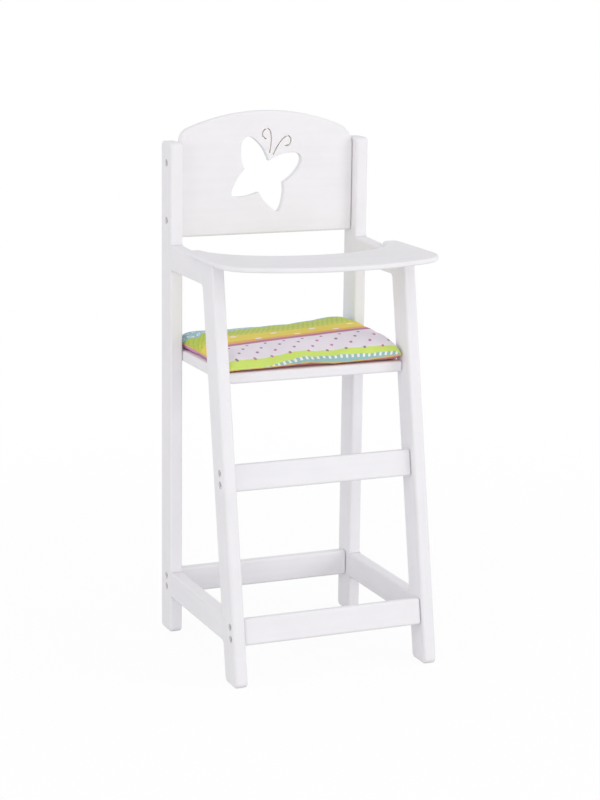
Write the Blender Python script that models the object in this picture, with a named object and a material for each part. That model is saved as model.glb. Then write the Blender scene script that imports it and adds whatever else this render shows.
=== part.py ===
"""A doll's high chair of white painted boards: two side frames, an arched back with a butterfly cut through it, a seat
with a loose sewn cushion, a fixed tray, a footrest, and rails near the floor. Metres, +Z up. The chair faces -Y, and
the origin lies on the floor under its middle. A reach is a distance forward of the rear posts' front faces."""

import math

import bmesh
import bpy
import numpy as np
from mathutils import Matrix, Vector

# Gaps and overruns
JOINT_GAP = 0.0003  # between two pieces that meet
BORE_GAP = 0.0003  # round a screw or a dowel, and past its end
OVERRUN = 0.003  # how far a cutter runs past the face that it breaks through

# Edges and corners of the boards
EDGE_ROUND = 0.0024  # long edges in the side frames
CROSS_EDGE_ROUND = 0.0028  # edges of the boards between the frames
EASED_EDGE = 0.0003  # an edge where two boards are glued flush
EDGE_FADE = 0.003  # length over which a rounded edge fades to an eased one
END_FILLET = 0.0055  # corners at the ends of the posts and at the feet
CROSS_FILLET = 0.003  # corners of the boards between the frames
ROUND_STEPS = 2
FILLET_STEPS = 3

# Side frames
FRAME_WIDTH = 0.2368  # over the outer faces
FRAME_BOARD = 0.014
POST_HEIGHT = 0.5588
POST_DEPTH = 0.032
LEG_HEIGHT = 0.4445
LEG_WIDTH = 0.0322
LEG_TOE_REACH = 0.2043
LEG_LEAN = math.radians(10.13)
ARM_DEPTH = 0.0265
ARM_RISE = 0.002  # the top climbs this much to the post
ARM_RISE_LENGTH = 0.045
SIDE_RAIL_BOTTOM = 0.0423
RAIL_DEPTH = 0.029

# Boards between the frames
CROSS_BOARD = 0.012
REAR_RAIL_BOTTOM = 0.0435
REAR_RAIL_SETBACK = 0.0085
FRONT_RAIL_MIDDLE = 0.0571  # height of its middle, at its own mid thickness
FRONT_RAIL_SETBACK = 0.003  # behind the legs' front faces
FOOTREST_MIDDLE = 0.2178
FOOTREST_SETBACK = 0.0075
SEAT_TOP = 0.327
SEAT_SETBACK = 0.0159  # behind the legs' front faces, at the seat's mid thickness
SEAT_REAR_INSET = 0.006  # ahead of the posts' rear faces

# Backrest
BACK_BOARD = 0.0085
BACK_SETBACK = 0.011
BACK_DROP = 0.1058  # its bottom edge, below the posts' tops
BACK_CROWN = 0.03205  # its top, above the posts' tops
BACK_ARC_RADIUS = 0.246
BACK_ARC_OFFSET = -0.0025  # where the middle of the arc lies across the chair
BACK_LEFT_FILLET = 0.015  # the shoulder at the left end of the arc
BACK_RIGHT_FILLET = 0.026
BACK_ARC_STEPS = 16
BACK_FILLET_STEPS = 6

# Butterfly cut through the backrest: its outline, as shares of half its span, is mirrored about its body's axis
BUTTERFLY_HALF_SPAN = 0.0378
BUTTERFLY_OFFSET = -0.0041
BUTTERFLY_DROP = 0.0735  # its middle, below the backrest's top
BUTTERFLY_TILT = math.radians(19.2)
UPPER_WING_SHARES = (
    (0, 0.49),
    (0.12, 0.62),
    (0.27, 0.76),
    (0.45, 0.87),
    (0.64, 0.95),
    (0.82, 0.97),
    (0.93, 0.92),
    (0.99, 0.80),
    (0.98, 0.62),
    (0.93, 0.45),
    (0.85, 0.28),
    (0.75, 0.13),
    (0.66, 0.02),
)
LOWER_WING_SHARES = (
    (0.66, 0.02),
    (0.75, -0.18),
    (0.80, -0.38),
    (0.83, -0.60),
    (0.82, -0.78),
    (0.76, -0.85),
    (0.63, -0.84),
    (0.44, -0.77),
    (0.22, -0.66),
    (0, -0.49),
)
ANTENNA_SHARES = (
    (0.065, 0.70),
    (0.09, 0.885),
    (0.125, 1.04),
    (0.19, 1.21),
    (0.255, 1.315),
    (0.333, 1.365),
    (0.406, 1.344),
    (0.458, 1.276),
    (0.474, 1.198),
    (0.448, 1.13),
    (0.38, 1.078),
    (0.30, 1.068),
)
ANTENNA_WIDTH = 0.0015
WING_STEPS = 2
ANTENNA_STEPS = 2

# Tray, fixed on the legs and armrests
TRAY_THICKNESS = 0.0055
TRAY_EDGE_ROUND = 0.002
TRAY_OVERHANG = 0.0952  # its front, ahead of the legs at their tops
TRAY_TAIL = 0.0618  # its rear tips, behind the legs' front faces at their tops
TRAY_SIDE_OVERHANG = 0.0076  # at each side, past the side frames
TRAY_FRONT_RADIUS = 0.235
TRAY_CORNER_FILLET = 0.045
TRAY_TIP_WIDTH = 0.018
TRAY_TIP_FILLET = 0.005
TRAY_HOLLOW_DEPTH = 0.071
TRAY_FRONT_STEPS = 12
TRAY_CORNER_STEPS = 5
TRAY_HOLLOW_STEPS = 20

# Screws, sunk in the outer faces of posts and legs, with a hexagon socket
SCREW_PITCH = 0.0126  # between the two of a pair, along a rail's depth
BACK_SCREW_DROP = 0.0231  # the upper of the backrest's, below a post's top
BACK_SCREW_RISE = 0.0193  # the lower, above the backrest's bottom edge
COUNTERBORE_RADIUS = 0.004
COUNTERBORE_DEPTH = 0.005
SCREW_HEAD_RADIUS = 0.0036
SCREW_HEAD_HEIGHT = 0.0025
SCREW_SHANK_RADIUS = 0.002
SCREW_GRIP = 0.028  # how far it runs into the cross board
SCREW_TIP = 0.004
SOCKET_RADIUS = 0.0018
SOCKET_DEPTH = 0.0014
SCREW_SIDES = 12

# Dowels
DOWEL_RADIUS = 0.003
DOWEL_SIDES = 10
DOWEL_PITCH = 0.012  # between the two of a pair
DOWEL_IN_UPRIGHT = 0.008
DOWEL_IN_BOARD = 0.015
TRAY_DOWEL_RADIUS = 0.002
TRAY_DOWEL_IN_TRAY = 0.0033
TRAY_DOWEL_INSET = 0.0046  # from the side frames' outer faces
TRAY_DOWEL_FROM_TIP = 0.0075  # in the armrest, ahead of the tray's rear tip

# Seat cushion
CUSHION_SIDE_CLEARANCE = 0.0018  # from its corners to the frames
CUSHION_DEPTH = 0.156
CUSHION_REAR_THICKNESS = 0.0255
CUSHION_FRONT_THICKNESS = 0.018
CUSHION_OVERHANG = 0.001  # its front corners, past the seat's front edge
CUSHION_SEAM_HEIGHT = 0.004
CUSHION_DRAW_IN = 0.003  # how far its sides are drawn in between the corners
CUSHION_COLUMNS = 22
CUSHION_ROWS = 16
CUSHION_CROWN_POWER = 8  # the higher, the fuller it is towards its seam
CUSHION_FLAT_SHARE = 0.6  # the underside lies flat where the swell is past this share

# Words for the two sides and the two of a pair
SIDES = ((-1, "left"), (1, "right"))
LEVELS = ((-1, "lower"), (1, "upper"))

# Worked out from the values above
OUTER = FRAME_WIDTH / 2
INNER = OUTER - FRAME_BOARD
FRAME_MIDDLE = OUTER - FRAME_BOARD / 2
LEG_SLOPE = math.tan(LEG_LEAN)
LEG_TOP_REACH = LEG_TOE_REACH - LEG_HEIGHT * LEG_SLOPE
TRAY_REACH = LEG_TOP_REACH + TRAY_OVERHANG
TIP_REACH = LEG_TOP_REACH - TRAY_TAIL
POST_FRONT = (max(TRAY_REACH, LEG_TOE_REACH) - POST_DEPTH) / 2
ARM_BOTTOM = LEG_HEIGHT - ARM_DEPTH
SIDE_RAIL_TOP = SIDE_RAIL_BOTTOM + RAIL_DEPTH
CROSS_END = INNER - JOINT_GAP
SEAT_MIDDLE = SEAT_TOP - CROSS_BOARD / 2
SEAT_REACH = LEG_TOE_REACH - SEAT_MIDDLE * LEG_SLOPE - SEAT_SETBACK
BACK_BOTTOM = POST_HEIGHT - BACK_DROP
BACK_TOP = POST_HEIGHT + BACK_CROWN
BACK_MIDDLE = POST_FRONT + BACK_SETBACK + BACK_BOARD / 2
TRAY_WIDTH = FRAME_WIDTH + 2 * TRAY_SIDE_OVERHANG
TRAY_BOTTOM = LEG_HEIGHT + JOINT_GAP
CUSHION_WIDTH = 2 * (INNER - CUSHION_SIDE_CLEARANCE)


def painted(name, colour, roughness, metallic=0.0):
    """A plain material."""
    material = bpy.data.materials.new(name)
    material.use_nodes = True
    shader = material.node_tree.nodes["Principled BSDF"]
    shader.inputs["Base Color"].default_value = (*colour, 1)
    shader.inputs["Roughness"].default_value = roughness
    shader.inputs["Metallic"].default_value = metallic
    return material


def frame_at(origin, u_axis, v_axis):
    """The matrix of a board's own frame: u and v lie in its face, and w runs through its thickness."""
    u, v = Vector(u_axis), Vector(v_axis)
    matrix = Matrix((u, v, u.cross(v))).transposed().to_4x4()
    matrix.translation = Vector(origin)
    return matrix


def forward(reach):
    """The Y of a place that lies this far forward of the posts' front faces."""
    return POST_FRONT - reach


def leg_reach(height, depth=0.0):
    """How far forward a leg is at this height, at a depth behind its front face, square to it."""
    return LEG_TOE_REACH - height * LEG_SLOPE - depth / math.cos(LEG_LEAN)


def filleted(corners):
    """A closed outline of (u, v, edge rounding), from corners (u, v, edge rounding, fillet radius)."""
    points = []
    for index, (u, v, edge, fillet) in enumerate(corners):
        here = Vector((u, v))
        if not fillet:
            points.append((u, v, edge))
            continue
        before = (Vector(corners[index - 1][:2]) - here).normalized()
        after = (Vector(corners[(index + 1) % len(corners)][:2]) - here).normalized()
        half = before.angle(after) / 2
        middle = here + (before + after).normalized() * fillet / math.sin(half)
        arm = here + before * fillet / math.tan(half) - middle
        sweep = math.pi - 2 * half
        if before.cross(after) > 0:
            sweep = -sweep
        for step in range(FILLET_STEPS + 1):
            point = middle + Matrix.Rotation(sweep * step / FILLET_STEPS, 2) @ arm
            points.append((*point, edge))
    return points


def half_bow(start, heading, middle, radius, fillet, fillet_steps, bow_steps):
    """Points from a straight side over a fillet and along an arc, up to its top, turning left all the way. The side
    starts at a point with a heading, and the arc is about a middle on u = 0."""
    start, heading, middle = Vector(start), Vector(heading), Vector(middle)
    inward = Vector((-heading.y, heading.x))
    base = start + inward * fillet - middle
    along = heading.dot(base)
    run = -along + math.sqrt(along**2 - base.dot(base) + (radius - fillet) ** 2)
    centre = start + inward * fillet + heading * run
    leave = (-inward).xy
    enter = (centre - middle).normalized()
    turn = math.atan2(leave.cross(enter), leave.dot(enter))
    half = [
        centre + Matrix.Rotation(turn * step / fillet_steps, 2) @ leave * fillet for step in range(fillet_steps + 1)
    ]
    to_top = math.asin(enter.x * enter.y / abs(enter.y))
    half += [
        middle + Matrix.Rotation(to_top * step / bow_steps, 2) @ enter * radius for step in range(1, bow_steps)
    ]
    half.append(middle + Vector((0, math.copysign(radius, enter.y))))
    return half


def bowed_edge(start, heading, middle, radius, fillets, fillet_steps, bow_steps):
    """Points from one straight side over a bow to the other side, whose start is mirrored about u = 0. The bow is an arc
    about its middle, with a fillet of its own at each end."""
    offset, arc_middle = Vector((middle[0], 0)), (0, middle[1])
    here, there = fillets
    here = half_bow(Vector(start) - offset, heading, arc_middle, radius, here, fillet_steps, bow_steps)
    there = half_bow(Vector(start) + offset, heading, arc_middle, radius, there, fillet_steps, bow_steps)
    mirrored = [Vector((-point.x, point.y)) for point in reversed(there[:-1])]
    return [point + offset for point in here + mirrored]


def smooth_line(points, steps):
    """A Catmull-Rom curve through the points."""
    knots = np.array(points, float)
    knots = np.vstack([2 * knots[0] - knots[1], knots, 2 * knots[-1] - knots[-2]])
    line = []
    for a, b, c, d in zip(knots, knots[1:], knots[2:], knots[3:]):
        for t in np.arange(steps) / steps:
            line.append(
                (2 * b + (c - a) * t + (2 * a - 5 * b + 4 * c - d) * t**2 + (3 * b - a - 3 * c + d) * t**3) / 2
            )
    return line + [knots[-2]]


def inward_steps(points):
    """At each point of a closed outline that turns left, the step that moves both its edges in by one."""
    ahead = np.roll(points, -1, axis=0) - points
    ahead /= np.linalg.norm(ahead, axis=1)[:, None]
    normal = np.column_stack([-ahead[:, 1], ahead[:, 0]])
    before = np.roll(normal, 1, axis=0)
    return (normal + before) / (1 + (normal * before).sum(axis=1))[:, None]


def board_mesh(name, outline, thickness):
    """A board of this outline of (u, v, edge rounding), centred on w = 0, with both its faces' edges rounded."""
    data = np.array(outline, float)
    points, edges = data[:, :2], data[:, 2]
    inward = inward_steps(points)
    angles = [math.pi / 2 * step / ROUND_STEPS for step in range(ROUND_STEPS + 1)]
    levels = [(-1, angle) for angle in reversed(angles)] + [(1, angle) for angle in angles]
    bm = bmesh.new()
    rings = []
    for side, angle in levels:
        flat = points + inward * (edges * (1 - math.cos(angle)))[:, None]
        height = side * (thickness / 2 - edges * (1 - math.sin(angle)))
        rings.append([bm.verts.new((u, v, w)) for (u, v), w in zip(flat, height)])
    bm.faces.new(list(reversed(rings[0])))
    bm.faces.new(rings[-1])
    for lower, upper in zip(rings, rings[1:]):
        for index in range(len(lower)):
            bm.faces.new((lower[index - 1], lower[index], upper[index], upper[index - 1]))
    return finished(bm, name)


def finished(bm, name):
    """The bmesh as a mesh, smooth over its rounded edges."""
    mesh = bpy.data.meshes.new(name)
    bm.to_mesh(mesh)
    bm.free()
    mesh.shade_smooth()
    mesh.set_sharp_from_angle(angle=math.radians(35))
    return mesh


def piece(name, mesh, matrix, material, parent):
    """One piece of the chair."""
    obj = bpy.data.objects.new(name, mesh)
    bpy.context.scene.collection.objects.link(obj)
    obj.matrix_world = matrix
    obj.parent = parent
    if not mesh.materials:
        mesh.materials.append(material)
    return obj


def cutter(name, bm):
    """A hidden body that other pieces are cut with."""
    bmesh.ops.recalc_face_normals(bm, faces=bm.faces)
    obj = bpy.data.objects.new(name, bpy.data.meshes.new(name))
    bm.to_mesh(obj.data)
    bm.free()
    bpy.context.scene.collection.objects.link(obj)
    obj.hide_render = True
    obj.display_type = "WIRE"
    return obj


def cut(obj, *cutters):
    """Takes each cutter's shape out of the piece."""
    for tool in cutters:
        modifier = obj.modifiers.new(tool.name, "BOOLEAN")
        modifier.operation = "DIFFERENCE"
        modifier.solver = "EXACT"
        modifier.object = tool


def add_prism(bm, outline, half_depth, matrix):
    """Adds a straight prism of this outline of (u, v), as deep on both sides of w = 0."""
    rings = [[bm.verts.new(matrix @ Vector((u, v, w))) for u, v in outline] for w in (-half_depth, half_depth)]
    bm.faces.new(rings[0])
    bm.faces.new(rings[1])
    for index in range(len(outline)):
        bm.faces.new((rings[0][index - 1], rings[0][index], rings[1][index], rings[1][index - 1]))


def add_turned(bm, profile, sides, matrix, socket_rings=()):
    """Adds a body turned about local Z from (radius, z) pairs. It starts and ends at a point on the axis. The rings
    listed as socket rings are hexagons."""
    flat = math.cos(math.pi / 6)
    rings = []
    for index, (radius, z) in enumerate(profile[1:-1]):
        ring = []
        for side in range(sides):
            angle = 2 * math.pi * side / sides
            shrink = flat if index in socket_rings and side % 2 else 1
            place = Vector((radius * shrink * math.cos(angle), radius * shrink * math.sin(angle), z))
            ring.append(bm.verts.new(matrix @ place))
        rings.append(ring)
    for ring, (_, z) in ((rings[0], profile[0]), (rings[-1], profile[-1])):
        tip = bm.verts.new(matrix @ Vector((0, 0, z)))
        for side in range(sides):
            bm.faces.new((tip, ring[side - 1], ring[side]))
    for lower, upper in zip(rings, rings[1:]):
        for side in range(sides):
            bm.faces.new((lower[side - 1], lower[side], upper[side], upper[side - 1]))


def along_line(start, end):
    """The matrix that stands at the start of a line, with its Z along it."""
    matrix = (end - start).to_track_quat("Z", "Y").to_matrix().to_4x4()
    matrix.translation = start
    return matrix


def add_rod(bm, matrix, length, radius):
    """Adds a straight round rod that stands on the matrix's origin."""
    add_turned(bm, ((0, 0), (radius, 0), (radius, length), (0, length)), DOWEL_SIDES, matrix)


def frame_board(name, corners, side, material, parent):
    """A board of a side frame, from its outline of (y, z) corners."""
    matrix = frame_at((side * FRAME_MIDDLE, 0, 0), (0, 1, 0), (0, 0, 1))
    return piece(name, board_mesh(name, filleted(corners), FRAME_BOARD), matrix, material, parent)


def glued_zone(low, high, edge_point):
    """Corners up one edge of an upright, where a board between these heights is glued to it flush."""
    heights = (
        (low - EDGE_FADE, EDGE_ROUND),
        (low, EASED_EDGE),
        (high, EASED_EDGE),
        (high + EDGE_FADE, EDGE_ROUND),
    )
    return [(*edge_point(height), edge, 0) for height, edge in heights]


def rear_post(side, name, material, parent):
    """The post's front edge goes down, past the armrest and the side rail."""

    def front(height):
        return POST_FRONT, height

    rear = POST_FRONT + POST_DEPTH
    joints = glued_zone(SIDE_RAIL_BOTTOM, SIDE_RAIL_TOP, front)
    joints += glued_zone(ARM_BOTTOM, LEG_HEIGHT + ARM_RISE, front)
    corners = [
        (POST_FRONT, 0, EDGE_ROUND, END_FILLET),
        (rear, 0, EDGE_ROUND, END_FILLET),
        (rear, POST_HEIGHT, EDGE_ROUND, END_FILLET),
        (POST_FRONT, POST_HEIGHT, EDGE_ROUND, END_FILLET),
    ]
    return frame_board(name, corners + joints[::-1], side, material, parent)


def front_leg(side, name, material, parent):
    """The leg leans back, and is cut level at its foot and under the tray."""

    def rear(height):
        return forward(leg_reach(height, LEG_WIDTH)), height

    joints = glued_zone(SIDE_RAIL_BOTTOM, SIDE_RAIL_TOP, rear) + glued_zone(ARM_BOTTOM, LEG_HEIGHT, rear)[:2]
    corners = [
        (forward(leg_reach(0)), 0, EDGE_ROUND, END_FILLET),
        (*rear(0), EDGE_ROUND, END_FILLET),
        *joints,
        (*rear(LEG_HEIGHT), EASED_EDGE, 0),
        (forward(LEG_TOP_REACH), LEG_HEIGHT, EASED_EDGE, 0),
        (forward(leg_reach(LEG_HEIGHT - EDGE_FADE)), LEG_HEIGHT - EDGE_FADE, EDGE_ROUND, 0),
    ]
    return frame_board(name, corners, side, material, parent)


def armrest(side, name, material, parent):
    """The armrest runs from the post to the leg, whose lean its front end follows."""
    rear = POST_FRONT - JOINT_GAP
    top = LEG_HEIGHT + ARM_RISE

    def front(height):
        return forward(leg_reach(height, LEG_WIDTH) - JOINT_GAP / math.cos(LEG_LEAN))

    corners = [
        (front(ARM_BOTTOM), ARM_BOTTOM, EASED_EDGE, 0),
        (front(ARM_BOTTOM) + EDGE_FADE, ARM_BOTTOM, EDGE_ROUND, 0),
        (rear - EDGE_FADE, ARM_BOTTOM, EDGE_ROUND, 0),
        (rear, ARM_BOTTOM, EASED_EDGE, 0),
        (rear, top, EASED_EDGE, 0),
        (rear - EDGE_FADE, top - ARM_RISE * EDGE_FADE / ARM_RISE_LENGTH, EDGE_ROUND, 0),
        (rear - ARM_RISE_LENGTH, LEG_HEIGHT, EDGE_ROUND, 0),
        (front(LEG_HEIGHT) + EDGE_FADE, LEG_HEIGHT, EDGE_ROUND, 0),
        (front(LEG_HEIGHT), LEG_HEIGHT, EASED_EDGE, 0),
    ]
    return frame_board(name, corners, side, material, parent)


def side_rail(side, name, material, parent):
    """The rail near the floor, from the post to the leg."""
    rear = POST_FRONT - JOINT_GAP
    corners = []
    for height, heading in ((SIDE_RAIL_BOTTOM, 1), (SIDE_RAIL_TOP, -1)):
        front = forward(leg_reach(height, LEG_WIDTH) - JOINT_GAP / math.cos(LEG_LEAN))
        edge = [
            (front, height, EASED_EDGE, 0),
            (front + EDGE_FADE, height, EDGE_ROUND, 0),
            (rear - EDGE_FADE, height, EDGE_ROUND, 0),
            (rear, height, EASED_EDGE, 0),
        ]
        corners += edge[::heading]
    return frame_board(name, corners, side, material, parent)


def oblong(half_width, low, high, edge, fillet):
    """An upright oblong outline, centred on u = 0."""
    corners = ((-half_width, low), (half_width, low), (half_width, high), (-half_width, high))
    return filleted([(u, v, edge, fillet) for u, v in corners])


def cross_board(name, middle, height_axis, material, parent):
    """A board on edge between the frames, as deep as a rail."""
    matrix = frame_at(middle, (1, 0, 0), height_axis)
    outline = oblong(CROSS_END, -RAIL_DEPTH / 2, RAIL_DEPTH / 2, CROSS_EDGE_ROUND, CROSS_FILLET)
    return piece(name, board_mesh(name, outline, CROSS_BOARD), matrix, material, parent)


def leaning_middle(height, setback):
    """The middle of a cross board that leans with the legs, this far behind their front faces."""
    return 0, forward(leg_reach(height, setback + CROSS_BOARD / 2)), height


def seat(material, parent):
    """The seat board lies level, with its front edge a little behind the legs' front faces."""
    low = forward(SEAT_REACH)
    high = POST_FRONT + POST_DEPTH - SEAT_REAR_INSET
    outline = oblong(CROSS_END, low, high, CROSS_EDGE_ROUND, CROSS_FILLET)
    matrix = frame_at((0, 0, SEAT_MIDDLE), (1, 0, 0), (0, 1, 0))
    return piece("seat_board", board_mesh("seat_board", outline, CROSS_BOARD), matrix, material, parent)


def backrest(material, parent):
    """The backrest stands between the posts, with a bowed top."""
    top = bowed_edge(
        (CROSS_END, BACK_BOTTOM),
        (0, 1),
        (BACK_ARC_OFFSET, BACK_TOP - BACK_ARC_RADIUS),
        BACK_ARC_RADIUS,
        (BACK_RIGHT_FILLET, BACK_LEFT_FILLET),
        BACK_FILLET_STEPS,
        BACK_ARC_STEPS // 2,
    )
    corners = [
        (-CROSS_END, BACK_BOTTOM, CROSS_EDGE_ROUND, CROSS_FILLET),
        (CROSS_END, BACK_BOTTOM, CROSS_EDGE_ROUND, CROSS_FILLET),
    ]
    corners += [(*point, CROSS_EDGE_ROUND, 0) for point in top]
    matrix = frame_at((0, BACK_MIDDLE, 0), (1, 0, 0), (0, 0, 1))
    mesh = board_mesh("backrest_panel", filleted(corners), BACK_BOARD)
    return piece("backrest_panel", mesh, matrix, material, parent)


def butterfly_cutter():
    """The wings and the two antennae, each a straight cut through the backrest."""
    lean = Matrix.Rotation(BUTTERFLY_TILT, 4, "Y")
    place = Matrix.Translation((BUTTERFLY_OFFSET, BACK_MIDDLE, BACK_TOP - BUTTERFLY_DROP))
    matrix = place @ lean @ frame_at((0, 0, 0), (1, 0, 0), (0, 0, 1))
    half = smooth_line(UPPER_WING_SHARES, WING_STEPS)[:-1] + smooth_line(LOWER_WING_SHARES, WING_STEPS)
    wings = half + [(-u, v) for u, v in half[-2:0:-1]]
    depth = BACK_BOARD / 2 + OVERRUN
    bm = bmesh.new()
    add_prism(bm, [(u * BUTTERFLY_HALF_SPAN, v * BUTTERFLY_HALF_SPAN) for u, v in wings], depth, matrix)
    line = np.array(smooth_line(ANTENNA_SHARES, ANTENNA_STEPS)) * BUTTERFLY_HALF_SPAN
    along = np.gradient(line, axis=0)
    along /= np.linalg.norm(along, axis=1)[:, None]
    across = np.column_stack([-along[:, 1], along[:, 0]]) * ANTENNA_WIDTH / 2
    ribbon = np.vstack([line - across, (line + across)[::-1]])
    for mirror in (1, -1):
        add_prism(bm, ribbon * (mirror, 1), depth, matrix)
    return cutter("butterfly", bm)


def tray_outline():
    """The tray's front bows out, and its rear is hollowed by half an ellipse between two tips."""
    rear = forward(TIP_REACH)
    half_width = TRAY_WIDTH / 2
    front = bowed_edge(
        (-half_width, rear),
        (0, -1),
        (0, forward(TRAY_REACH - TRAY_FRONT_RADIUS)),
        TRAY_FRONT_RADIUS,
        (TRAY_CORNER_FILLET, TRAY_CORNER_FILLET),
        TRAY_CORNER_STEPS,
        TRAY_FRONT_STEPS // 2,
    )
    reach = half_width - TRAY_TIP_WIDTH
    angles = [math.pi * step / TRAY_HOLLOW_STEPS for step in range(TRAY_HOLLOW_STEPS + 1)]
    hollow = [(reach * math.cos(angle), rear - TRAY_HOLLOW_DEPTH * math.sin(angle)) for angle in angles]
    corners = [(*point, TRAY_EDGE_ROUND, 0) for point in front]
    corners.append((half_width, rear, TRAY_EDGE_ROUND, TRAY_TIP_FILLET))
    corners.append((*hollow[0], TRAY_EDGE_ROUND, TRAY_TIP_FILLET))
    corners += [(*point, TRAY_EDGE_ROUND, 0) for point in hollow[1:-1]]
    corners.append((*hollow[-1], TRAY_EDGE_ROUND, TRAY_TIP_FILLET))
    corners.append((-half_width, rear, TRAY_EDGE_ROUND, TRAY_TIP_FILLET))
    return filleted(corners)


def tray(material, parent):
    """A thin board that lies on the legs' tops and the armrests."""
    matrix = frame_at((0, 0, TRAY_BOTTOM + TRAY_THICKNESS / 2), (1, 0, 0), (0, 1, 0))
    return piece("tray", board_mesh("tray", tray_outline(), TRAY_THICKNESS), matrix, material, parent)


def screw_places(board, middle, step):
    """A pair of screws at each end of a cross board: each one's name, and its matrix, whose Z is the way it looks."""
    for side, word in SIDES:
        for end, level in LEVELS:
            matrix = Matrix.Rotation(side * math.pi / 2, 4, "Y")
            matrix.translation = Vector(middle) + Vector(step) * end
            matrix.translation.x = side * OUTER
            yield f"{word}_{level}_{board}_screw", matrix


def screw_mesh():
    """A screw with a hexagon socket in its head. Z is zero on the outer face that it is sunk in."""
    under_head = BORE_GAP - COUNTERBORE_DEPTH
    head_top = under_head + SCREW_HEAD_HEIGHT
    tip = -FRAME_BOARD - SCREW_GRIP
    profile = (
        (0, head_top - SOCKET_DEPTH),
        (SOCKET_RADIUS, head_top - SOCKET_DEPTH),
        (SOCKET_RADIUS, head_top),
        (SCREW_HEAD_RADIUS, head_top),
        (SCREW_HEAD_RADIUS, under_head),
        (SCREW_SHANK_RADIUS, under_head),
        (SCREW_SHANK_RADIUS, tip + SCREW_TIP),
        (0, tip),
    )
    bm = bmesh.new()
    add_turned(bm, profile, SCREW_SIDES, Matrix(), socket_rings=(0, 1))
    bmesh.ops.recalc_face_normals(bm, faces=bm.faces)
    return finished(bm, "screw")


def screws(mesh, places, material, parent):
    """The screws at these places. Returns the cutter of their stepped holes."""
    radius = SCREW_SHANK_RADIUS + BORE_GAP
    end = -FRAME_BOARD - SCREW_GRIP - BORE_GAP
    hole = (
        (0, OVERRUN),
        (COUNTERBORE_RADIUS, OVERRUN),
        (COUNTERBORE_RADIUS, -COUNTERBORE_DEPTH),
        (radius, -COUNTERBORE_DEPTH),
        (radius, end),
        (0, end),
    )
    bm = bmesh.new()
    for name, matrix in places:
        piece(name, mesh, matrix, material, parent)
        add_turned(bm, hole, SCREW_SIDES, matrix)
    return cutter(name + "_holes", bm)


def dowels(mesh, lines, radius, material, parent):
    """Dowels along these named lines from start to end. Returns the cutter of their bores."""
    bm = bmesh.new()
    for name, start, end in lines:
        piece(name, mesh, along_line(start, end), material, parent)
        past = (end - start).normalized() * BORE_GAP
        add_rod(bm, along_line(start - past, end + past), (end - start).length + 2 * BORE_GAP, radius + BORE_GAP)
    return cutter(name + "_bores", bm)


def dowel_mesh(name, length, radius):
    """A plain dowel that stands on its frame's origin."""
    bm = bmesh.new()
    add_rod(bm, Matrix(), length, radius)
    bmesh.ops.recalc_face_normals(bm, faces=bm.faces)
    return finished(bm, name)


def frame_dowel_lines(side, word):
    """Two dowels at each end of the armrest and the side rail, level and along the chair."""
    x = side * FRAME_MIDDLE
    for board, low, high in (("side_rail", SIDE_RAIL_BOTTOM, SIDE_RAIL_TOP), ("armrest", ARM_BOTTOM, LEG_HEIGHT)):
        for end, level in LEVELS:
            z = (low + high + end * DOWEL_PITCH) / 2
            post_face, leg_face = POST_FRONT, forward(leg_reach(z, LEG_WIDTH))
            for place, face, way in (("rear", post_face, 1), ("front", leg_face, -1)):
                start = Vector((x, face + way * DOWEL_IN_UPRIGHT, z))
                yield f"{word}_{board}_{place}_{level}_dowel", start, Vector((x, face - way * DOWEL_IN_BOARD, z))


def seat_dowel_lines():
    """One dowel into each post and leg, level and across the chair."""
    leg_face = leg_reach(SEAT_MIDDLE, LEG_WIDTH)
    for side, word in SIDES:
        for place, reach in (("rear", -POST_DEPTH / 2), ("front", (leg_face + SEAT_REACH) / 2)):
            start = Vector((side * (INNER + DOWEL_IN_UPRIGHT), forward(reach), SEAT_MIDDLE))
            end = Vector((side * (INNER - DOWEL_IN_BOARD), forward(reach), SEAT_MIDDLE))
            yield f"{word}_seat_{place}_dowel", start, end


def tray_dowel_lines():
    """One dowel up from each armrest and each leg into the tray."""
    leg_middle = leg_reach(LEG_HEIGHT, LEG_WIDTH / 2)
    for side, word in SIDES:
        x = side * (OUTER - TRAY_DOWEL_INSET)
        for place, reach in (("rear", TIP_REACH + TRAY_DOWEL_FROM_TIP), ("front", leg_middle)):
            start = Vector((x, forward(reach), LEG_HEIGHT - DOWEL_IN_UPRIGHT))
            end = Vector((x, forward(reach), TRAY_BOTTOM + TRAY_DOWEL_IN_TRAY))
            yield f"{word}_tray_{place}_dowel", start, end


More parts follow.
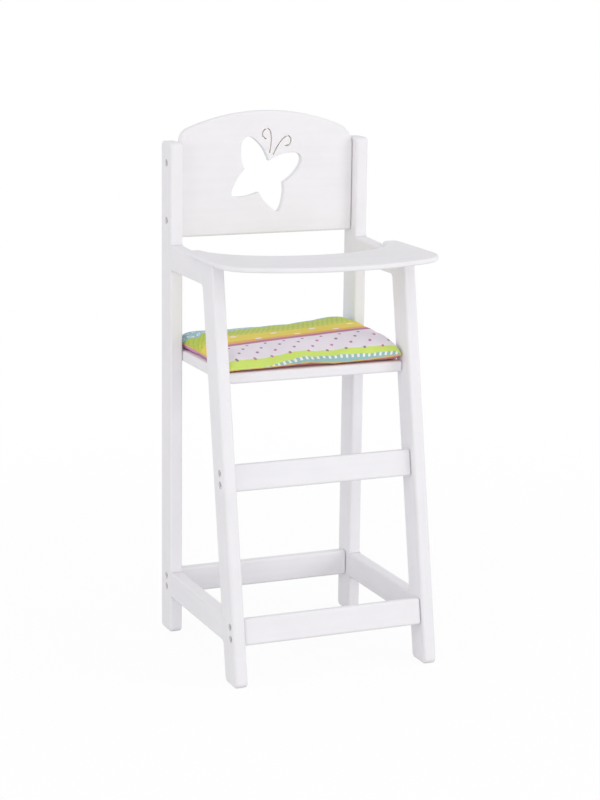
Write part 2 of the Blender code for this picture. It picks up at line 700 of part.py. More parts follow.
def cushion(material):
    """A sewn pad: its seam runs round it low down, its sides are drawn in between the corners, its top is crowned and
    fuller at the rear, and its underside lies flat on the seat. It moves along Y, and its origin is on that line."""

    def place(s, t, top):
        swell = math.sqrt((1 - abs(s) ** CUSHION_CROWN_POWER) * (1 - abs(t) ** CUSHION_CROWN_POWER))
        x = s * (CUSHION_WIDTH / 2 - CUSHION_DRAW_IN * (1 - t**2))
        y = t * (CUSHION_DEPTH / 2 - CUSHION_DRAW_IN * (1 - s**2))
        if top:
            thickness = CUSHION_FRONT_THICKNESS + (CUSHION_REAR_THICKNESS - CUSHION_FRONT_THICKNESS) * (1 + t) / 2
            return x, y, CUSHION_SEAM_HEIGHT + (thickness - CUSHION_SEAM_HEIGHT) * swell
        return x, y, CUSHION_SEAM_HEIGHT * (1 - min(1, swell / CUSHION_FLAT_SHARE))

    def spread(count):
        return [math.sin(math.pi * (step / count - 1 / 2)) for step in range(count + 1)]

    bm = bmesh.new()
    across, along = spread(CUSHION_COLUMNS), spread(CUSHION_ROWS)
    sheets = []
    for top in (False, True):
        sheet = []
        for row, t in enumerate(along):
            line = []
            for column, s in enumerate(across):
                on_seam = row in (0, CUSHION_ROWS) or column in (0, CUSHION_COLUMNS)
                line.append(sheets[0][row][column] if top and on_seam else bm.verts.new(place(s, t, top)))
            sheet.append(line)
        sheets.append(sheet)
        for row in range(CUSHION_ROWS):
            for column in range(CUSHION_COLUMNS):
                low, high = sheet[row], sheet[row + 1]
                face = (low[column], low[column + 1], high[column + 1], high[column])
                bm.faces.new(face if top else face[::-1])
    mesh = finished(bm, "seat_cushion")
    middle = forward(SEAT_REACH + CUSHION_OVERHANG - CUSHION_DEPTH / 2)
    return piece("seat_cushion", mesh, Matrix.Translation((0, middle, SEAT_TOP + JOINT_GAP)), material, None)


def build():
    """The whole chair."""
    for obj in list(bpy.data.objects):
        bpy.data.objects.remove(obj)
    white = painted("white_paint", (0.85, 0.85, 0.87), 0.45)
    beech = painted("bare_wood", (0.72, 0.55, 0.38), 0.7)
    steel = painted("screw_steel", (0.32, 0.31, 0.30), 0.4, 1.0)
    print_cloth = painted("printed_cloth", (0.62, 0.82, 0.45), 0.9)
    chair = bpy.data.objects.new("high_chair", None)
    bpy.context.scene.collection.objects.link(chair)

    upright = (0, 0, 1)
    up_the_leg = (0, math.sin(LEG_LEAN), math.cos(LEG_LEAN))
    rear_rail_middle = (
        0,
        POST_FRONT + REAR_RAIL_SETBACK + CROSS_BOARD / 2,
        REAR_RAIL_BOTTOM + RAIL_DEPTH / 2,
    )
    front_rail_middle = leaning_middle(FRONT_RAIL_MIDDLE, FRONT_RAIL_SETBACK)
    footrest_middle = leaning_middle(FOOTREST_MIDDLE, FOOTREST_SETBACK)
    rear_rail = cross_board("rear_rail", rear_rail_middle, upright, white, chair)
    front_rail = cross_board("front_rail", front_rail_middle, up_the_leg, white, chair)
    footrest = cross_board("footrest", footrest_middle, up_the_leg, white, chair)
    seat_board = seat(white, chair)
    back = backrest(white, chair)
    table = tray(white, chair)
    cushion(print_cloth)

    half_pitch = SCREW_PITCH / 2
    low_screw, high_screw = BACK_BOTTOM + BACK_SCREW_RISE, POST_HEIGHT - BACK_SCREW_DROP
    back_middle = (0, BACK_MIDDLE, (low_screw + high_screw) / 2)
    back_step = Vector(upright) * (high_screw - low_screw) / 2
    screw = screw_mesh()
    back_holes = screws(screw, screw_places("backrest", back_middle, back_step), steel, chair)
    places = screw_places("rear_rail", rear_rail_middle, Vector(upright) * half_pitch)
    rear_holes = screws(screw, places, steel, chair)
    places = screw_places("footrest", footrest_middle, Vector(up_the_leg) * half_pitch)
    foot_holes = screws(screw, places, steel, chair)
    places = screw_places("front_rail", front_rail_middle, Vector(up_the_leg) * half_pitch)
    front_holes = screws(screw, places, steel, chair)

    dowel = dowel_mesh("dowel", DOWEL_IN_UPRIGHT + DOWEL_IN_BOARD, DOWEL_RADIUS)
    length = DOWEL_IN_UPRIGHT + JOINT_GAP + TRAY_DOWEL_IN_TRAY
    peg = dowel_mesh("tray_dowel", length, TRAY_DOWEL_RADIUS)
    seat_bores = dowels(dowel, seat_dowel_lines(), DOWEL_RADIUS, beech, chair)
    tray_bores = dowels(peg, tray_dowel_lines(), TRAY_DOWEL_RADIUS, beech, chair)
    for side, word in SIDES:
        frame_bores = dowels(dowel, frame_dowel_lines(side, word), DOWEL_RADIUS, beech, chair)
        post = rear_post(side, word + "_rear_post", white, chair)
        leg = front_leg(side, word + "_front_leg", white, chair)
        arm = armrest(side, word + "_armrest", white, chair)
        rail = side_rail(side, word + "_side_rail", white, chair)
        cut(post, frame_bores, seat_bores, back_holes, rear_holes)
        cut(leg, frame_bores, seat_bores, tray_bores, foot_holes, front_holes)
        cut(arm, frame_bores, tray_bores)
        cut(rail, frame_bores)
    cut(rear_rail, rear_holes)
    cut(front_rail, front_holes)
    cut(footrest, foot_holes)
    cut(back, back_holes, butterfly_cutter())
    cut(seat_board, seat_bores)
    cut(table, tray_bores)


build()
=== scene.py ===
"""Looks of a doll's high chair of white painted boards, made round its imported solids. Metres, +Z up, and
the chair faces -Y. A reach is a distance forward of the rear posts' front faces."""

import math

import bpy
import numpy as np
from mathutils import Matrix, Vector
from mathutils.geometry import tessellate_polygon


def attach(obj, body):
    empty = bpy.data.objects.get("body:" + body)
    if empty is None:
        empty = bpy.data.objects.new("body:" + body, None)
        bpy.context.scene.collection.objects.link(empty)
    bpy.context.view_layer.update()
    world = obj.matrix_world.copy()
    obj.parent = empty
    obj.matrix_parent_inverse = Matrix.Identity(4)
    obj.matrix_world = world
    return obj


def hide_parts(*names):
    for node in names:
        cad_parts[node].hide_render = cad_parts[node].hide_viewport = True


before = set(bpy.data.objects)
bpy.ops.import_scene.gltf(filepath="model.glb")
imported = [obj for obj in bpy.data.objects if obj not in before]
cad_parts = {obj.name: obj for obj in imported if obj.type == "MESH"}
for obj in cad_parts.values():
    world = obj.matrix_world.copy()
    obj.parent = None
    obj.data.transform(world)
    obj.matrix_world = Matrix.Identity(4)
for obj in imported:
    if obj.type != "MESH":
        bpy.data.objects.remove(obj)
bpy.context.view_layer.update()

# Sizes of the boards, as in the solids
JOINT_GAP = 0.0003
EDGE_ROUND = 0.0024
CROSS_EDGE_ROUND = 0.0028
EASED_EDGE = 0.0003
EDGE_FADE = 0.003
END_FILLET = 0.0055
CROSS_FILLET = 0.003
FRAME_WIDTH = 0.2368
FRAME_BOARD = 0.014
POST_HEIGHT = 0.5588
POST_DEPTH = 0.032
LEG_HEIGHT = 0.4445
LEG_WIDTH = 0.0322
LEG_TOE_REACH = 0.2043
LEG_LEAN = math.radians(10.13)
ARM_DEPTH = 0.0265
ARM_RISE = 0.002
ARM_RISE_LENGTH = 0.045
SIDE_RAIL_BOTTOM = 0.0423
RAIL_DEPTH = 0.029
CROSS_BOARD = 0.012
REAR_RAIL_BOTTOM = 0.0435
REAR_RAIL_SETBACK = 0.0085
FRONT_RAIL_MIDDLE = 0.0571
FRONT_RAIL_SETBACK = 0.003
FOOTREST_MIDDLE = 0.2178
FOOTREST_SETBACK = 0.0075
SEAT_TOP = 0.327
SEAT_SETBACK = 0.0159
SEAT_REAR_INSET = 0.006
BACK_BOARD = 0.0085
BACK_SETBACK = 0.011
BACK_DROP = 0.1058
BACK_CROWN = 0.03205
BACK_ARC_RADIUS = 0.246
BACK_ARC_OFFSET = -0.0025
BACK_LEFT_FILLET = 0.015
BACK_RIGHT_FILLET = 0.026
TRAY_THICKNESS = 0.0055
TRAY_EDGE_ROUND = 0.002
TRAY_OVERHANG = 0.0952
TRAY_TAIL = 0.0618
TRAY_WIDTH = 0.252
TRAY_FRONT_RADIUS = 0.235
TRAY_CORNER_FILLET = 0.045
TRAY_TIP_WIDTH = 0.018
TRAY_TIP_FILLET = 0.005
TRAY_HOLLOW_DEPTH = 0.071
SCREW_PITCH = 0.0126
BACK_SCREW_DROP = 0.0231
BACK_SCREW_RISE = 0.0193
COUNTERBORE_RADIUS = 0.004
COUNTERBORE_DEPTH = 0.005

# The butterfly: its outline, as shares of half its span, is mirrored about its body's axis
BUTTERFLY_HALF_SPAN = 0.0378
BUTTERFLY_OFFSET = -0.0041
BUTTERFLY_DROP = 0.0735
BUTTERFLY_TILT = math.radians(19.2)
UPPER_WING_SHARES = (
    (0, 0.49), (0.12, 0.62), (0.27, 0.76), (0.45, 0.87), (0.64, 0.95), (0.82, 0.97), (0.93, 0.92),
    (0.99, 0.80), (0.98, 0.62), (0.93, 0.45), (0.85, 0.28), (0.75, 0.13), (0.66, 0.02),
)
LOWER_WING_SHARES = (
    (0.66, 0.02), (0.75, -0.18), (0.80, -0.38), (0.83, -0.60), (0.82, -0.78), (0.76, -0.85), (0.63, -0.84),
    (0.44, -0.77), (0.22, -0.66), (0, -0.49),
)
ANTENNA_SHARES = (
    (0.065, 0.70), (0.09, 0.885), (0.125, 1.04), (0.19, 1.21), (0.255, 1.315), (0.333, 1.365),
    (0.406, 1.344), (0.458, 1.276), (0.474, 1.198), (0.448, 1.13), (0.38, 1.078), (0.30, 1.068),
)
ANTENNA_WIDTH = 0.0015

# Fineness of the curved surfaces
ROUND_STEPS = 6
FILLET_STEPS = 8
ARC_STEPS = 40
RIM_STEPS = 3
WING_STEPS = 6
HOLE_STEPS = 32
HOLD = 0.00012  # width of the strip that keeps a flat face's shading flat
FILL_SCALE = 1000  # flat faces are filled in millimetres, at which no step is too small

# Worked out from the sizes
OUTER = FRAME_WIDTH / 2
INNER = OUTER - FRAME_BOARD
FRAME_MIDDLE = OUTER - FRAME_BOARD / 2
LEG_SLOPE = math.tan(LEG_LEAN)
LEG_TOP_REACH = LEG_TOE_REACH - LEG_HEIGHT * LEG_SLOPE
TRAY_REACH = LEG_TOP_REACH + TRAY_OVERHANG
TIP_REACH = LEG_TOP_REACH - TRAY_TAIL
POST_FRONT = (max(TRAY_REACH, LEG_TOE_REACH) - POST_DEPTH) / 2
ARM_BOTTOM = LEG_HEIGHT - ARM_DEPTH
SIDE_RAIL_TOP = SIDE_RAIL_BOTTOM + RAIL_DEPTH
CROSS_END = INNER - JOINT_GAP
SEAT_MIDDLE = SEAT_TOP - CROSS_BOARD / 2
SEAT_REACH = LEG_TOE_REACH - SEAT_MIDDLE * LEG_SLOPE - SEAT_SETBACK
BACK_BOTTOM = POST_HEIGHT - BACK_DROP
BACK_TOP = POST_HEIGHT + BACK_CROWN
TRAY_BOTTOM = LEG_HEIGHT + JOINT_GAP

scene = bpy.context.scene
scene.view_settings.view_transform = "Standard"


# Shader groups, shared by the finishes


class Tree:
    """A node tree with short calls to fill it."""

    def __init__(self, tree):
        self.tree = tree

    def node(self, kind, values=None, **settings):
        made = self.tree.nodes.new(kind)
        for key, value in settings.items():
            setattr(made, key, value)
        for key, value in (values or {}).items():
            self.feed(made.inputs[key], value)
        return made

    def feed(self, socket, value):
        """Links a socket to another node's output, or gives it a value."""
        if isinstance(value, bpy.types.NodeSocket):
            self.link(value, socket)
        else:
            socket.default_value = value

    def math(self, operation, *values):
        return self.node("ShaderNodeMath", dict(enumerate(values)), operation=operation).outputs[0]

    def times(self, *values):
        return self.math("MULTIPLY", *values)

    def plus(self, *values):
        return self.math("ADD", *values)

    def minus(self, *values):
        return self.math("SUBTRACT", *values)

    def mix(self, factor, a, b, kind="RGBA"):
        made = self.node("ShaderNodeMix", data_type=kind)
        *into, out = {"RGBA": (0, 6, 7, 2), "FLOAT": (0, 2, 3, 0)}[kind]  # the numbers of its sockets
        for number, value in zip(into, (factor, a, b)):
            self.feed(made.inputs[number], value)
        return made.outputs[out]

    def noise(self, vector, scale, detail=2.0, rough=0.5):
        values = {"Vector": vector, "Scale": scale, "Detail": detail, "Roughness": rough}
        return self.node("ShaderNodeTexNoise", values).outputs[0]

    def ramp(self, value, low, high, to_low=0.0, to_high=1.0, smooth=True):
        values = {"Value": value, "From Min": low, "From Max": high, "To Min": to_low, "To Max": to_high}
        kind = "SMOOTHSTEP" if smooth else "LINEAR"
        return self.node("ShaderNodeMapRange", values, interpolation_type=kind).outputs[0]

    def step(self, value, edge, soft):
        """0 below an edge and 1 above it, soft on both sides of it."""
        return self.ramp(value, edge - soft, edge + soft)

    def spot(self, value, edge, soft):
        """1 below an edge and 0 above it, soft on both sides of it."""
        return self.ramp(value, edge - soft, edge + soft, 1.0, 0.0)

    def object_place(self):
        return self.node("ShaderNodeTexCoord").outputs["Object"]

    def link(self, value, socket):
        self.tree.links.new(value, socket)


def group(name, inputs, outputs):
    """A new shader group with these sockets, each name with its kind. Returns its tree and both ends."""
    tree = bpy.data.node_groups.new(name, "ShaderNodeTree")
    for way, sockets in (("INPUT", inputs), ("OUTPUT", outputs)):
        for socket, kind in sockets.items():
            tree.interface.new_socket(socket, in_out=way, socket_type="NodeSocket" + kind)
    into = tree.nodes.new("NodeGroupInput")
    out = tree.nodes.new("NodeGroupOutput")
    return Tree(tree), into.outputs, out.inputs


# Values of the finishes: patterns in periods a metre, and reliefs as a bump's strength and height
NOISE_SPAN = 0.3, 0.7  # where most of a noise lies
WHITE = (0.862, 0.848, 0.877, 1)
THIN_WHITE = (0.86, 0.838, 0.845, 1)
THIN_PATCHES, THIN_SPAN, THINNING = 90.0, (0.35, 0.75), (0.15, 0.6)
PAINT_GLOSS = 0.1  # the specular level of matt paint
PAINT_ROUGHNESS = 0.55, 0.7
PAINT_RELIEF = 0.35, 0.00012
GRAIN, GRAIN_BANDS, DIMPLES, WAVES = 620.0, 150.0, 1500.0, 24.0
GRAIN_SQUEEZE = 0.045  # the grain's scale along a board, as a share of that across it
WAVE_TONE, BAND_TONE = 0.012, 0.008
GRAIN_DULLNESS = 0.4
HEIGHT_SHARES = 1.5, 0.45, 0.5, 0.25  # of waves, grain, bands and dimples
CUT_TONES = (0.92, 0.86, 0.82, 1), (0.93, 0.92, 0.93, 1)  # bare wood, and white
CUT_PATCHES, CUT_SPAN, CUT_FUZZ = 420.0, (0.42, 0.6), 2200.0
CUT_ROUGHNESS = 0.7
CUT_RELIEF = 0.4, 0.0001
STEEL_TONES = (0.30, 0.29, 0.28, 1), (0.46, 0.45, 0.44, 1)
STEEL_CLOUDS, STEEL_MARKS = 700.0, 4000.0
STEEL_ROUGHNESS = 0.28, 0.5
STEEL_RELIEF = 0.3, 0.00003
BEECH_TONES = (0.72, 0.55, 0.38, 1), (0.58, 0.41, 0.27, 1)
BEECH_FLECKS, FLECK_SPAN = 900.0, (0.5, 0.7)
BEECH_ROUGHNESS = 0.65
BEECH_RELIEF = 0.3, 0.0001


def painted_wood():
    """Matt paint over wood, whose grain runs along the vector's Z: low wide waves, fine grain showing
    through, and the small dimples of sprayed paint. Where the edge input is high, the paint is thin and
    takes the warm colour."""
    t, into, out = group(
        "painted_wood",
        {"Vector": "Vector", "Colour": "Color", "Warm": "Color", "Edge": "Float"},
        {"Colour": "Color", "Roughness": "Float", "Height": "Float"},
    )
    drawn_out = {"Vector": into["Vector"], "Scale": (1.0, 1.0, GRAIN_SQUEEZE)}
    along_grain = t.node("ShaderNodeMapping", drawn_out).outputs[0]
    grain = t.noise(along_grain, GRAIN, 3.0, 0.6)
    bands = t.noise(along_grain, GRAIN_BANDS)
    dimples = t.noise(into["Vector"], DIMPLES, 1.0)
    waves = t.noise(into["Vector"], WAVES)
    wave_tone = t.ramp(waves, *NOISE_SPAN, 1 - WAVE_TONE, 1 + WAVE_TONE)
    tone = t.plus(wave_tone, t.ramp(bands, *NOISE_SPAN, -BAND_TONE, BAND_TONE))
    shade = t.node("ShaderNodeHueSaturation", {"Color": into["Colour"], "Value": tone}).outputs[0]
    thinning = t.ramp(t.noise(along_grain, THIN_PATCHES), *THIN_SPAN, *THINNING)
    t.link(t.mix(t.times(into["Edge"], thinning), shade, into["Warm"]), out["Colour"])
    dullness = t.plus(waves, t.times(grain, GRAIN_DULLNESS))
    t.link(t.ramp(dullness, GRAIN_DULLNESS, 1.0, *PAINT_ROUGHNESS), out["Roughness"])
    height = 0.0
    for pattern, share in zip((waves, grain, bands, dimples), HEIGHT_SHARES):
        height = t.plus(height, t.times(pattern, share))
    t.link(height, out["Height"])
    return t.tree


def finish(name, values):
    """A new material with these values on its shader. Returns the material, its tree and its shader."""
    material = bpy.data.materials.new(name)
    material.use_nodes = True
    shader = material.node_tree.nodes["Principled BSDF"]
    for socket, value in values.items():
        shader.inputs[socket].default_value = value
    return material, Tree(material.node_tree), shader


def bump(t, shader, height, relief):
    strength, distance = relief
    raised = t.node("ShaderNodeBump", {"Height": height, "Strength": strength, "Distance": distance})
    t.link(raised.outputs[0], shader.inputs["Normal"])


PAINTED_WOOD = painted_wood()


def paint(name, turn):
    """White paint on a board whose grain runs along Z once the board's place is turned so."""
    material, t, shader = finish(name, {"Specular IOR Level": PAINT_GLOSS})
    turned = t.node("ShaderNodeMapping", {"Vector": t.object_place(), "Rotation": turn}).outputs[0]
    edge = t.node("ShaderNodeAttribute", attribute_name="edge").outputs["Fac"]
    values = {"Vector": turned, "Edge": edge, "Colour": WHITE, "Warm": THIN_WHITE}
    wood = t.node("ShaderNodeGroup", values, node_tree=PAINTED_WOOD).outputs
    t.link(wood["Colour"], shader.inputs["Base Color"])
    t.link(wood["Roughness"], shader.inputs["Roughness"])
    bump(t, shader, wood["Height"], PAINT_RELIEF)
    return material


def raw_edge():
    """The wall of a thin cut that the paint only partly reached: pale wood, with white in places."""
    material, t, shader = finish("thinly_painted_cut", {"Roughness": CUT_ROUGHNESS})
    place = t.object_place()
    cover = t.ramp(t.noise(place, CUT_PATCHES, 3.0), *CUT_SPAN)
    t.link(t.mix(cover, *CUT_TONES), shader.inputs["Base Color"])
    bump(t, shader, t.noise(place, CUT_FUZZ), CUT_RELIEF)
    return material


def steel():
    """Dark zinc-plated steel, cloudy and finely marked."""
    material, t, shader = finish("dark_screw_steel", {"Metallic": 1.0})
    place = t.object_place()
    cloud = t.noise(place, STEEL_CLOUDS, 3.0)
    t.link(t.mix(cloud, *STEEL_TONES), shader.inputs["Base Color"])
    t.link(t.ramp(cloud, *NOISE_SPAN, *STEEL_ROUGHNESS), shader.inputs["Roughness"])
    bump(t, shader, t.noise(place, STEEL_MARKS), STEEL_RELIEF)
    return material


SEAM_LINE, SEAM_SOFT = 0.0011, 0.0002
SEAM_COLOUR = (0.74, 0.52, 0.15, 1)
UNDERSIDE = (0.63, 0.22, 0.20, 1), (0.66, 0.28, 0.52, 1)  # near the front seam, and behind
UNDERSIDE_CHANGE = 0.02, 0.05
UNDERSIDE_START = -0.0009, -0.0005  # past the seam, where distances from it are negative
STRIPES = (  # where each stripe ends, from the front seam back along the laid-out cloth, and its colour
    (0.0095, (0.32, 0.54, 0.54)),
    (0.0185, (0.65, 0.82, 0.16)),
    (0.0525, (0.85, 0.79, 0.87)),
    (0.0600, (0.52, 0.18, 0.32)),
    (0.0670, (0.80, 0.44, 0.12)),
    (0.0880, (0.81, 0.65, 0.09)),
    (0.0990, (0.60, 0.64, 0.07)),
    (0.1230, (0.50, 0.60, 0.08)),
    (0.1900, (0.33, 0.54, 0.60)),
)
LIME_END, PALE_END, YELLOW_END, GREEN_MIDDLE, GREEN_END = (STRIPES[index][0] for index in (1, 2, 5, 6, 7))
COTTON = {"Roughness": 0.85, "Sheen Weight": 0.08, "Sheen Roughness": 0.5}
PRINT_WHITE = (0.90, 0.88, 0.88, 1)
PRINT_SOFT = 0.0003
WOBBLES, WOBBLE = 120.0, 0.0004
DASH_PITCH, DASH_ROW, DASH_SOFT = 0.0073, 0.0074, 0.00025
DASH_HALF_WIDTH, DASH_HALF_LENGTH = 0.00155, 0.00205
DOT_PITCH, DOT_STEP, DOT_ROW, DOT_RADIUS = 0.0225, 0.0086, 0.0096, 0.0018
DOT_COLOURS = (0.33, 0.22, 0.32, 1), (0.60, 0.20, 0.38, 1)
DOT_PATCHES, DOT_SPLIT = 70.0, 0.52  # scale of the pattern that picks a dot's colour, and where it changes
CLOUD_PITCH, CLOUD_FIRST, CLOUD_ROWS, CLOUD_RADIUS = 0.047, 0.0294, (0.082, 0.068), 0.0019
CLOUD_PUFF_SHARES = ((-1.3, 0.8), (0, 1.15), (1.3, 0.8))  # place and radius, by the cloud's radius
RING_PITCH, RING_ROW, RING_RADIUS, RING_HALF_LINE = 0.0070, 0.0110, 0.0019, 0.0005
LEAF_COLOUR = (0.34, 0.46, 0.08, 1)
LEAF_PITCH, LEAF_ROW, LEAF_RADIUS, LEAF_SOFT = 0.0062, 0.0054, 0.0019, 0.0004
LEAF_SLANT, LEAF_SLIMNESS, LEAF_STRENGTH = 0.6, 1.6, 0.7
THREAD_PITCH = 0.0005
SLUBS, SLUB_SHARE = 900.0, 1.5
WEAVE_RELIEF = 0.25, 0.0001


def printed_cloth():
    """Plain-woven cotton, printed with stripes across the cushion, and on them a row of dashes and rows
    of dots, clouds, leaves and rings. It reads the cloth's own UV map, in metres, and its distance from
    the seam."""
    material, t, shader = finish("printed_cotton", COTTON)
    laid = t.node("ShaderNodeUVMap", uv_map="cloth").outputs[0]
    axes = t.node("ShaderNodeSeparateXYZ", {"Vector": laid}).outputs
    u, v = axes["X"], axes["Y"]
    at = t.plus(v, t.ramp(t.noise(laid, WOBBLES), 0.0, 1.0, -WOBBLE, WOBBLE, smooth=False))
    colour = STRIPES[0][1] + (1,)
    for (edge, _), (_, after) in zip(STRIPES, STRIPES[1:]):
        colour = t.mix(t.step(at, edge, PRINT_SOFT), colour, after + (1,))

    def nearest(value, pitch):
        """Which multiple of the pitch is nearest to a value."""
        return t.math("ROUND", t.math("DIVIDE", value, pitch))

    def repeated(value, pitch):
        """How far a value is from the nearest multiple of the pitch."""
        return t.minus(value, t.times(nearest(value, pitch), pitch))

    def disk(across, along, radius, soft=PRINT_SOFT):
        squares = t.plus(t.times(across, across), t.times(along, along))
        return t.spot(t.math("SQRT", squares), radius, soft)

    def between(value, low, high):
        return t.times(t.math("GREATER_THAN", value, low), t.math("LESS_THAN", value, high))

    # White dashes in the blue-green stripe
    dash = t.spot(t.math("ABSOLUTE", repeated(u, DASH_PITCH)), DASH_HALF_WIDTH, DASH_SOFT)
    row = t.spot(t.math("ABSOLUTE", t.minus(at, DASH_ROW)), DASH_HALF_LENGTH, DASH_SOFT)
    colour = t.mix(t.times(dash, row), colour, PRINT_WHITE)

    # Dots in slanting rows on the pale field
    along = t.minus(v, LIME_END)
    across = t.minus(u, t.times(nearest(along, DOT_ROW), DOT_STEP))
    dot = disk(repeated(across, DOT_PITCH), repeated(along, DOT_ROW), DOT_RADIUS)
    dot = t.times(dot, between(v, LIME_END - DOT_RADIUS, PALE_END - DOT_RADIUS))
    which = t.math("GREATER_THAN", t.noise(laid, DOT_PATCHES, 0.0), DOT_SPLIT)
    colour = t.mix(dot, colour, t.mix(which, *DOT_COLOURS))

    # Little white clouds of three disks on the yellow stripe, in two rows
    for row, shift in zip(CLOUD_ROWS, (0, CLOUD_PITCH / 2)):
        across = repeated(t.minus(u, CLOUD_FIRST + shift), CLOUD_PITCH)
        away = t.minus(v, row)
        for puff, size in CLOUD_PUFF_SHARES:
            place = t.minus(across, puff * CLOUD_RADIUS)
            colour = t.mix(disk(place, away, size * CLOUD_RADIUS), colour, PRINT_WHITE)

    # Leaves on the green stripe and white rings on the blue one
    along = t.minus(v, GREEN_MIDDLE - LEAF_ROW / 2)
    shift = t.times(nearest(along, LEAF_ROW), LEAF_PITCH / 2)
    across = repeated(t.minus(u, shift), LEAF_PITCH)
    away = repeated(along, LEAF_ROW)
    slant = t.minus(across, t.times(away, LEAF_SLANT))
    leaf = disk(t.times(slant, LEAF_SLIMNESS), away, LEAF_RADIUS, LEAF_SOFT)
    leaf = t.times(leaf, between(v, YELLOW_END, GREEN_END))
    colour = t.mix(t.times(leaf, LEAF_STRENGTH), colour, LEAF_COLOUR)
    away = repeated(t.minus(v, GREEN_END + RING_ROW / 2), RING_ROW)
    across = repeated(u, RING_PITCH)
    whole, middle = (disk(across, away, RING_RADIUS + side * RING_HALF_LINE) for side in (1, -1))
    ring = t.times(t.minus(whole, middle), t.math("GREATER_THAN", v, GREEN_END))
    colour = t.mix(ring, colour, PRINT_WHITE)

    # The seam's ochre line, and the underside
    under = t.mix(t.ramp(t.times(v, -1.0), *UNDERSIDE_CHANGE), *UNDERSIDE)
    seam = t.node("ShaderNodeAttribute", attribute_name="seam_distance").outputs["Fac"]
    colour = t.mix(t.step(seam, SEAM_LINE, SEAM_SOFT), SEAM_COLOUR, colour)
    colour = t.mix(t.ramp(seam, *UNDERSIDE_START), under, colour)
    t.link(colour, shader.inputs["Base Color"])

    # The weave: threads both ways, uneven in thickness
    warp, weft = (t.math("SINE", t.times(way, 2 * math.pi / THREAD_PITCH)) for way in (u, v))
    slubs = t.times(t.noise(laid, SLUBS), SLUB_SHARE)
    bump(t, shader, t.plus(t.times(warp, weft), slubs), WEAVE_RELIEF)
    return material


def dowel_wood():
    """Bare beech, with short dark flecks."""
    material, t, shader = finish("beech_dowel", {"Roughness": BEECH_ROUGHNESS})
    fleck = t.ramp(t.noise(t.object_place(), BEECH_FLECKS, 4.0), *FLECK_SPAN)
    t.link(t.mix(fleck, *BEECH_TONES), shader.inputs["Base Color"])
    bump(t, shader, fleck, BEECH_RELIEF)
    return material


PAINT = {
    "upright": paint("white_paint_upright", (0, 0, 0)),
    "across": paint("white_paint_across", (0, math.pi / 2, 0)),
    "lengthwise": paint("white_paint_lengthwise", (math.pi / 2, 0, 0)),
    "leaning": paint("white_paint_leaning", (LEG_LEAN, 0, 0)),
}
CUT_WALL = raw_edge()
CLOTH = printed_cloth()
STEEL = steel()
BEECH = dowel_wood()


# Shapes


def frame_at(origin, u_axis, v_axis):
    """The matrix of a board's own frame: u and v lie in its face, and w runs through its thickness."""
    u, v = Vector(u_axis), Vector(v_axis)
    matrix = Matrix((u, v, u.cross(v))).transposed().to_4x4()
    matrix.translation = Vector(origin)
    return matrix


def forward(reach):
    return POST_FRONT - reach


def leg_reach(height, depth=0.0):
    """How far forward a leg is at this height, at a depth behind its front face, square to it."""
    return LEG_TOE_REACH - height * LEG_SLOPE - depth / math.cos(LEG_LEAN)


def filleted(corners):
    """A closed outline of (u, v, edge rounding), from corners (u, v, edge rounding, fillet radius). Each
    fillet is an arc that touches both sides of its corner."""
    points = []
    for index, (u, v, edge, fillet) in enumerate(corners):
        here = Vector((u, v))
        if not fillet:
            points.append((u, v, edge))
            continue
        before = (Vector(corners[index - 1][:2]) - here).normalized()
        after = (Vector(corners[(index + 1) % len(corners)][:2]) - here).normalized()
        half = before.angle(after) / 2
        middle = here + (before + after).normalized() * fillet / math.sin(half)
        arm = here + before * fillet / math.tan(half) - middle
        sweep = math.copysign(math.pi - 2 * half, -before.cross(after))
        for step in range(FILLET_STEPS + 1):
            points.append((*(middle + Matrix.Rotation(sweep * step / FILLET_STEPS, 2) @ arm), edge))
    return points


def half_bow(start, heading, middle, radius, fillet):
    """Points from a straight side over a fillet and along an arc, up to its top, turning left all the
    way. The side starts at a point with a heading, and the arc is about a middle on u = 0."""
    start, heading, middle = Vector(start), Vector(heading), Vector(middle)
    inward = Vector((-heading.y, heading.x))
    base = start + inward * fillet - middle
    along = heading.dot(base)
    run = -along + math.sqrt(along**2 - base.dot(base) + (radius - fillet) ** 2)
    centre = start + inward * fillet + heading * run
    leave, enter = -inward, (centre - middle).normalized()
    turn = math.atan2(leave.cross(enter), leave.dot(enter))
    steps = max(FILLET_STEPS, round(fillet / EDGE_ROUND))
    half = [centre + Matrix.Rotation(turn * step / steps, 2) @ leave * fillet for step in range(steps + 1)]
    to_top = math.asin(enter.x * enter.y / abs(enter.y))
    for step in range(1, ARC_STEPS):
        half.append(middle + Matrix.Rotation(to_top * step / ARC_STEPS, 2) @ enter * radius)
    return np.array(half + [middle + Vector((0, math.copysign(radius, enter.y)))])


def bowed_edge(start, heading, middle, radius, fillets):
    """Points from one straight side over a bow to the other side, at the mirrored place about u = 0. The
    bow is an arc about its middle, with a fillet at each end."""
    shift = np.array((middle[0], 0))
    here, there = (half_bow(start - side * shift, heading, (0, middle[1]), radius, fillet)
                   for side, fillet in zip((1, -1), fillets))
    return np.vstack([here, there[-2::-1] * (-1, 1)]) + shift


def smooth_line(points, steps):
    """A Catmull-Rom curve through the points: between two of them, the cubic whose slope at each is half
    the step between its neighbours."""
    knots = np.array(points, float)
    knots = np.vstack([2 * knots[0] - knots[1], knots, 2 * knots[-1] - knots[-2]])
    a, b, c, d = (knots[i : len(knots) - 3 + i, None] for i in range(4))
    t = (np.arange(steps) / steps)[None, :, None]
    line = (2 * b + (c - a) * t + (2 * a - 5 * b + 4 * c - d) * t**2 + (3 * b - a - 3 * c + d) * t**3) / 2
    return np.vstack([line.reshape(-1, 2), knots[-2]])


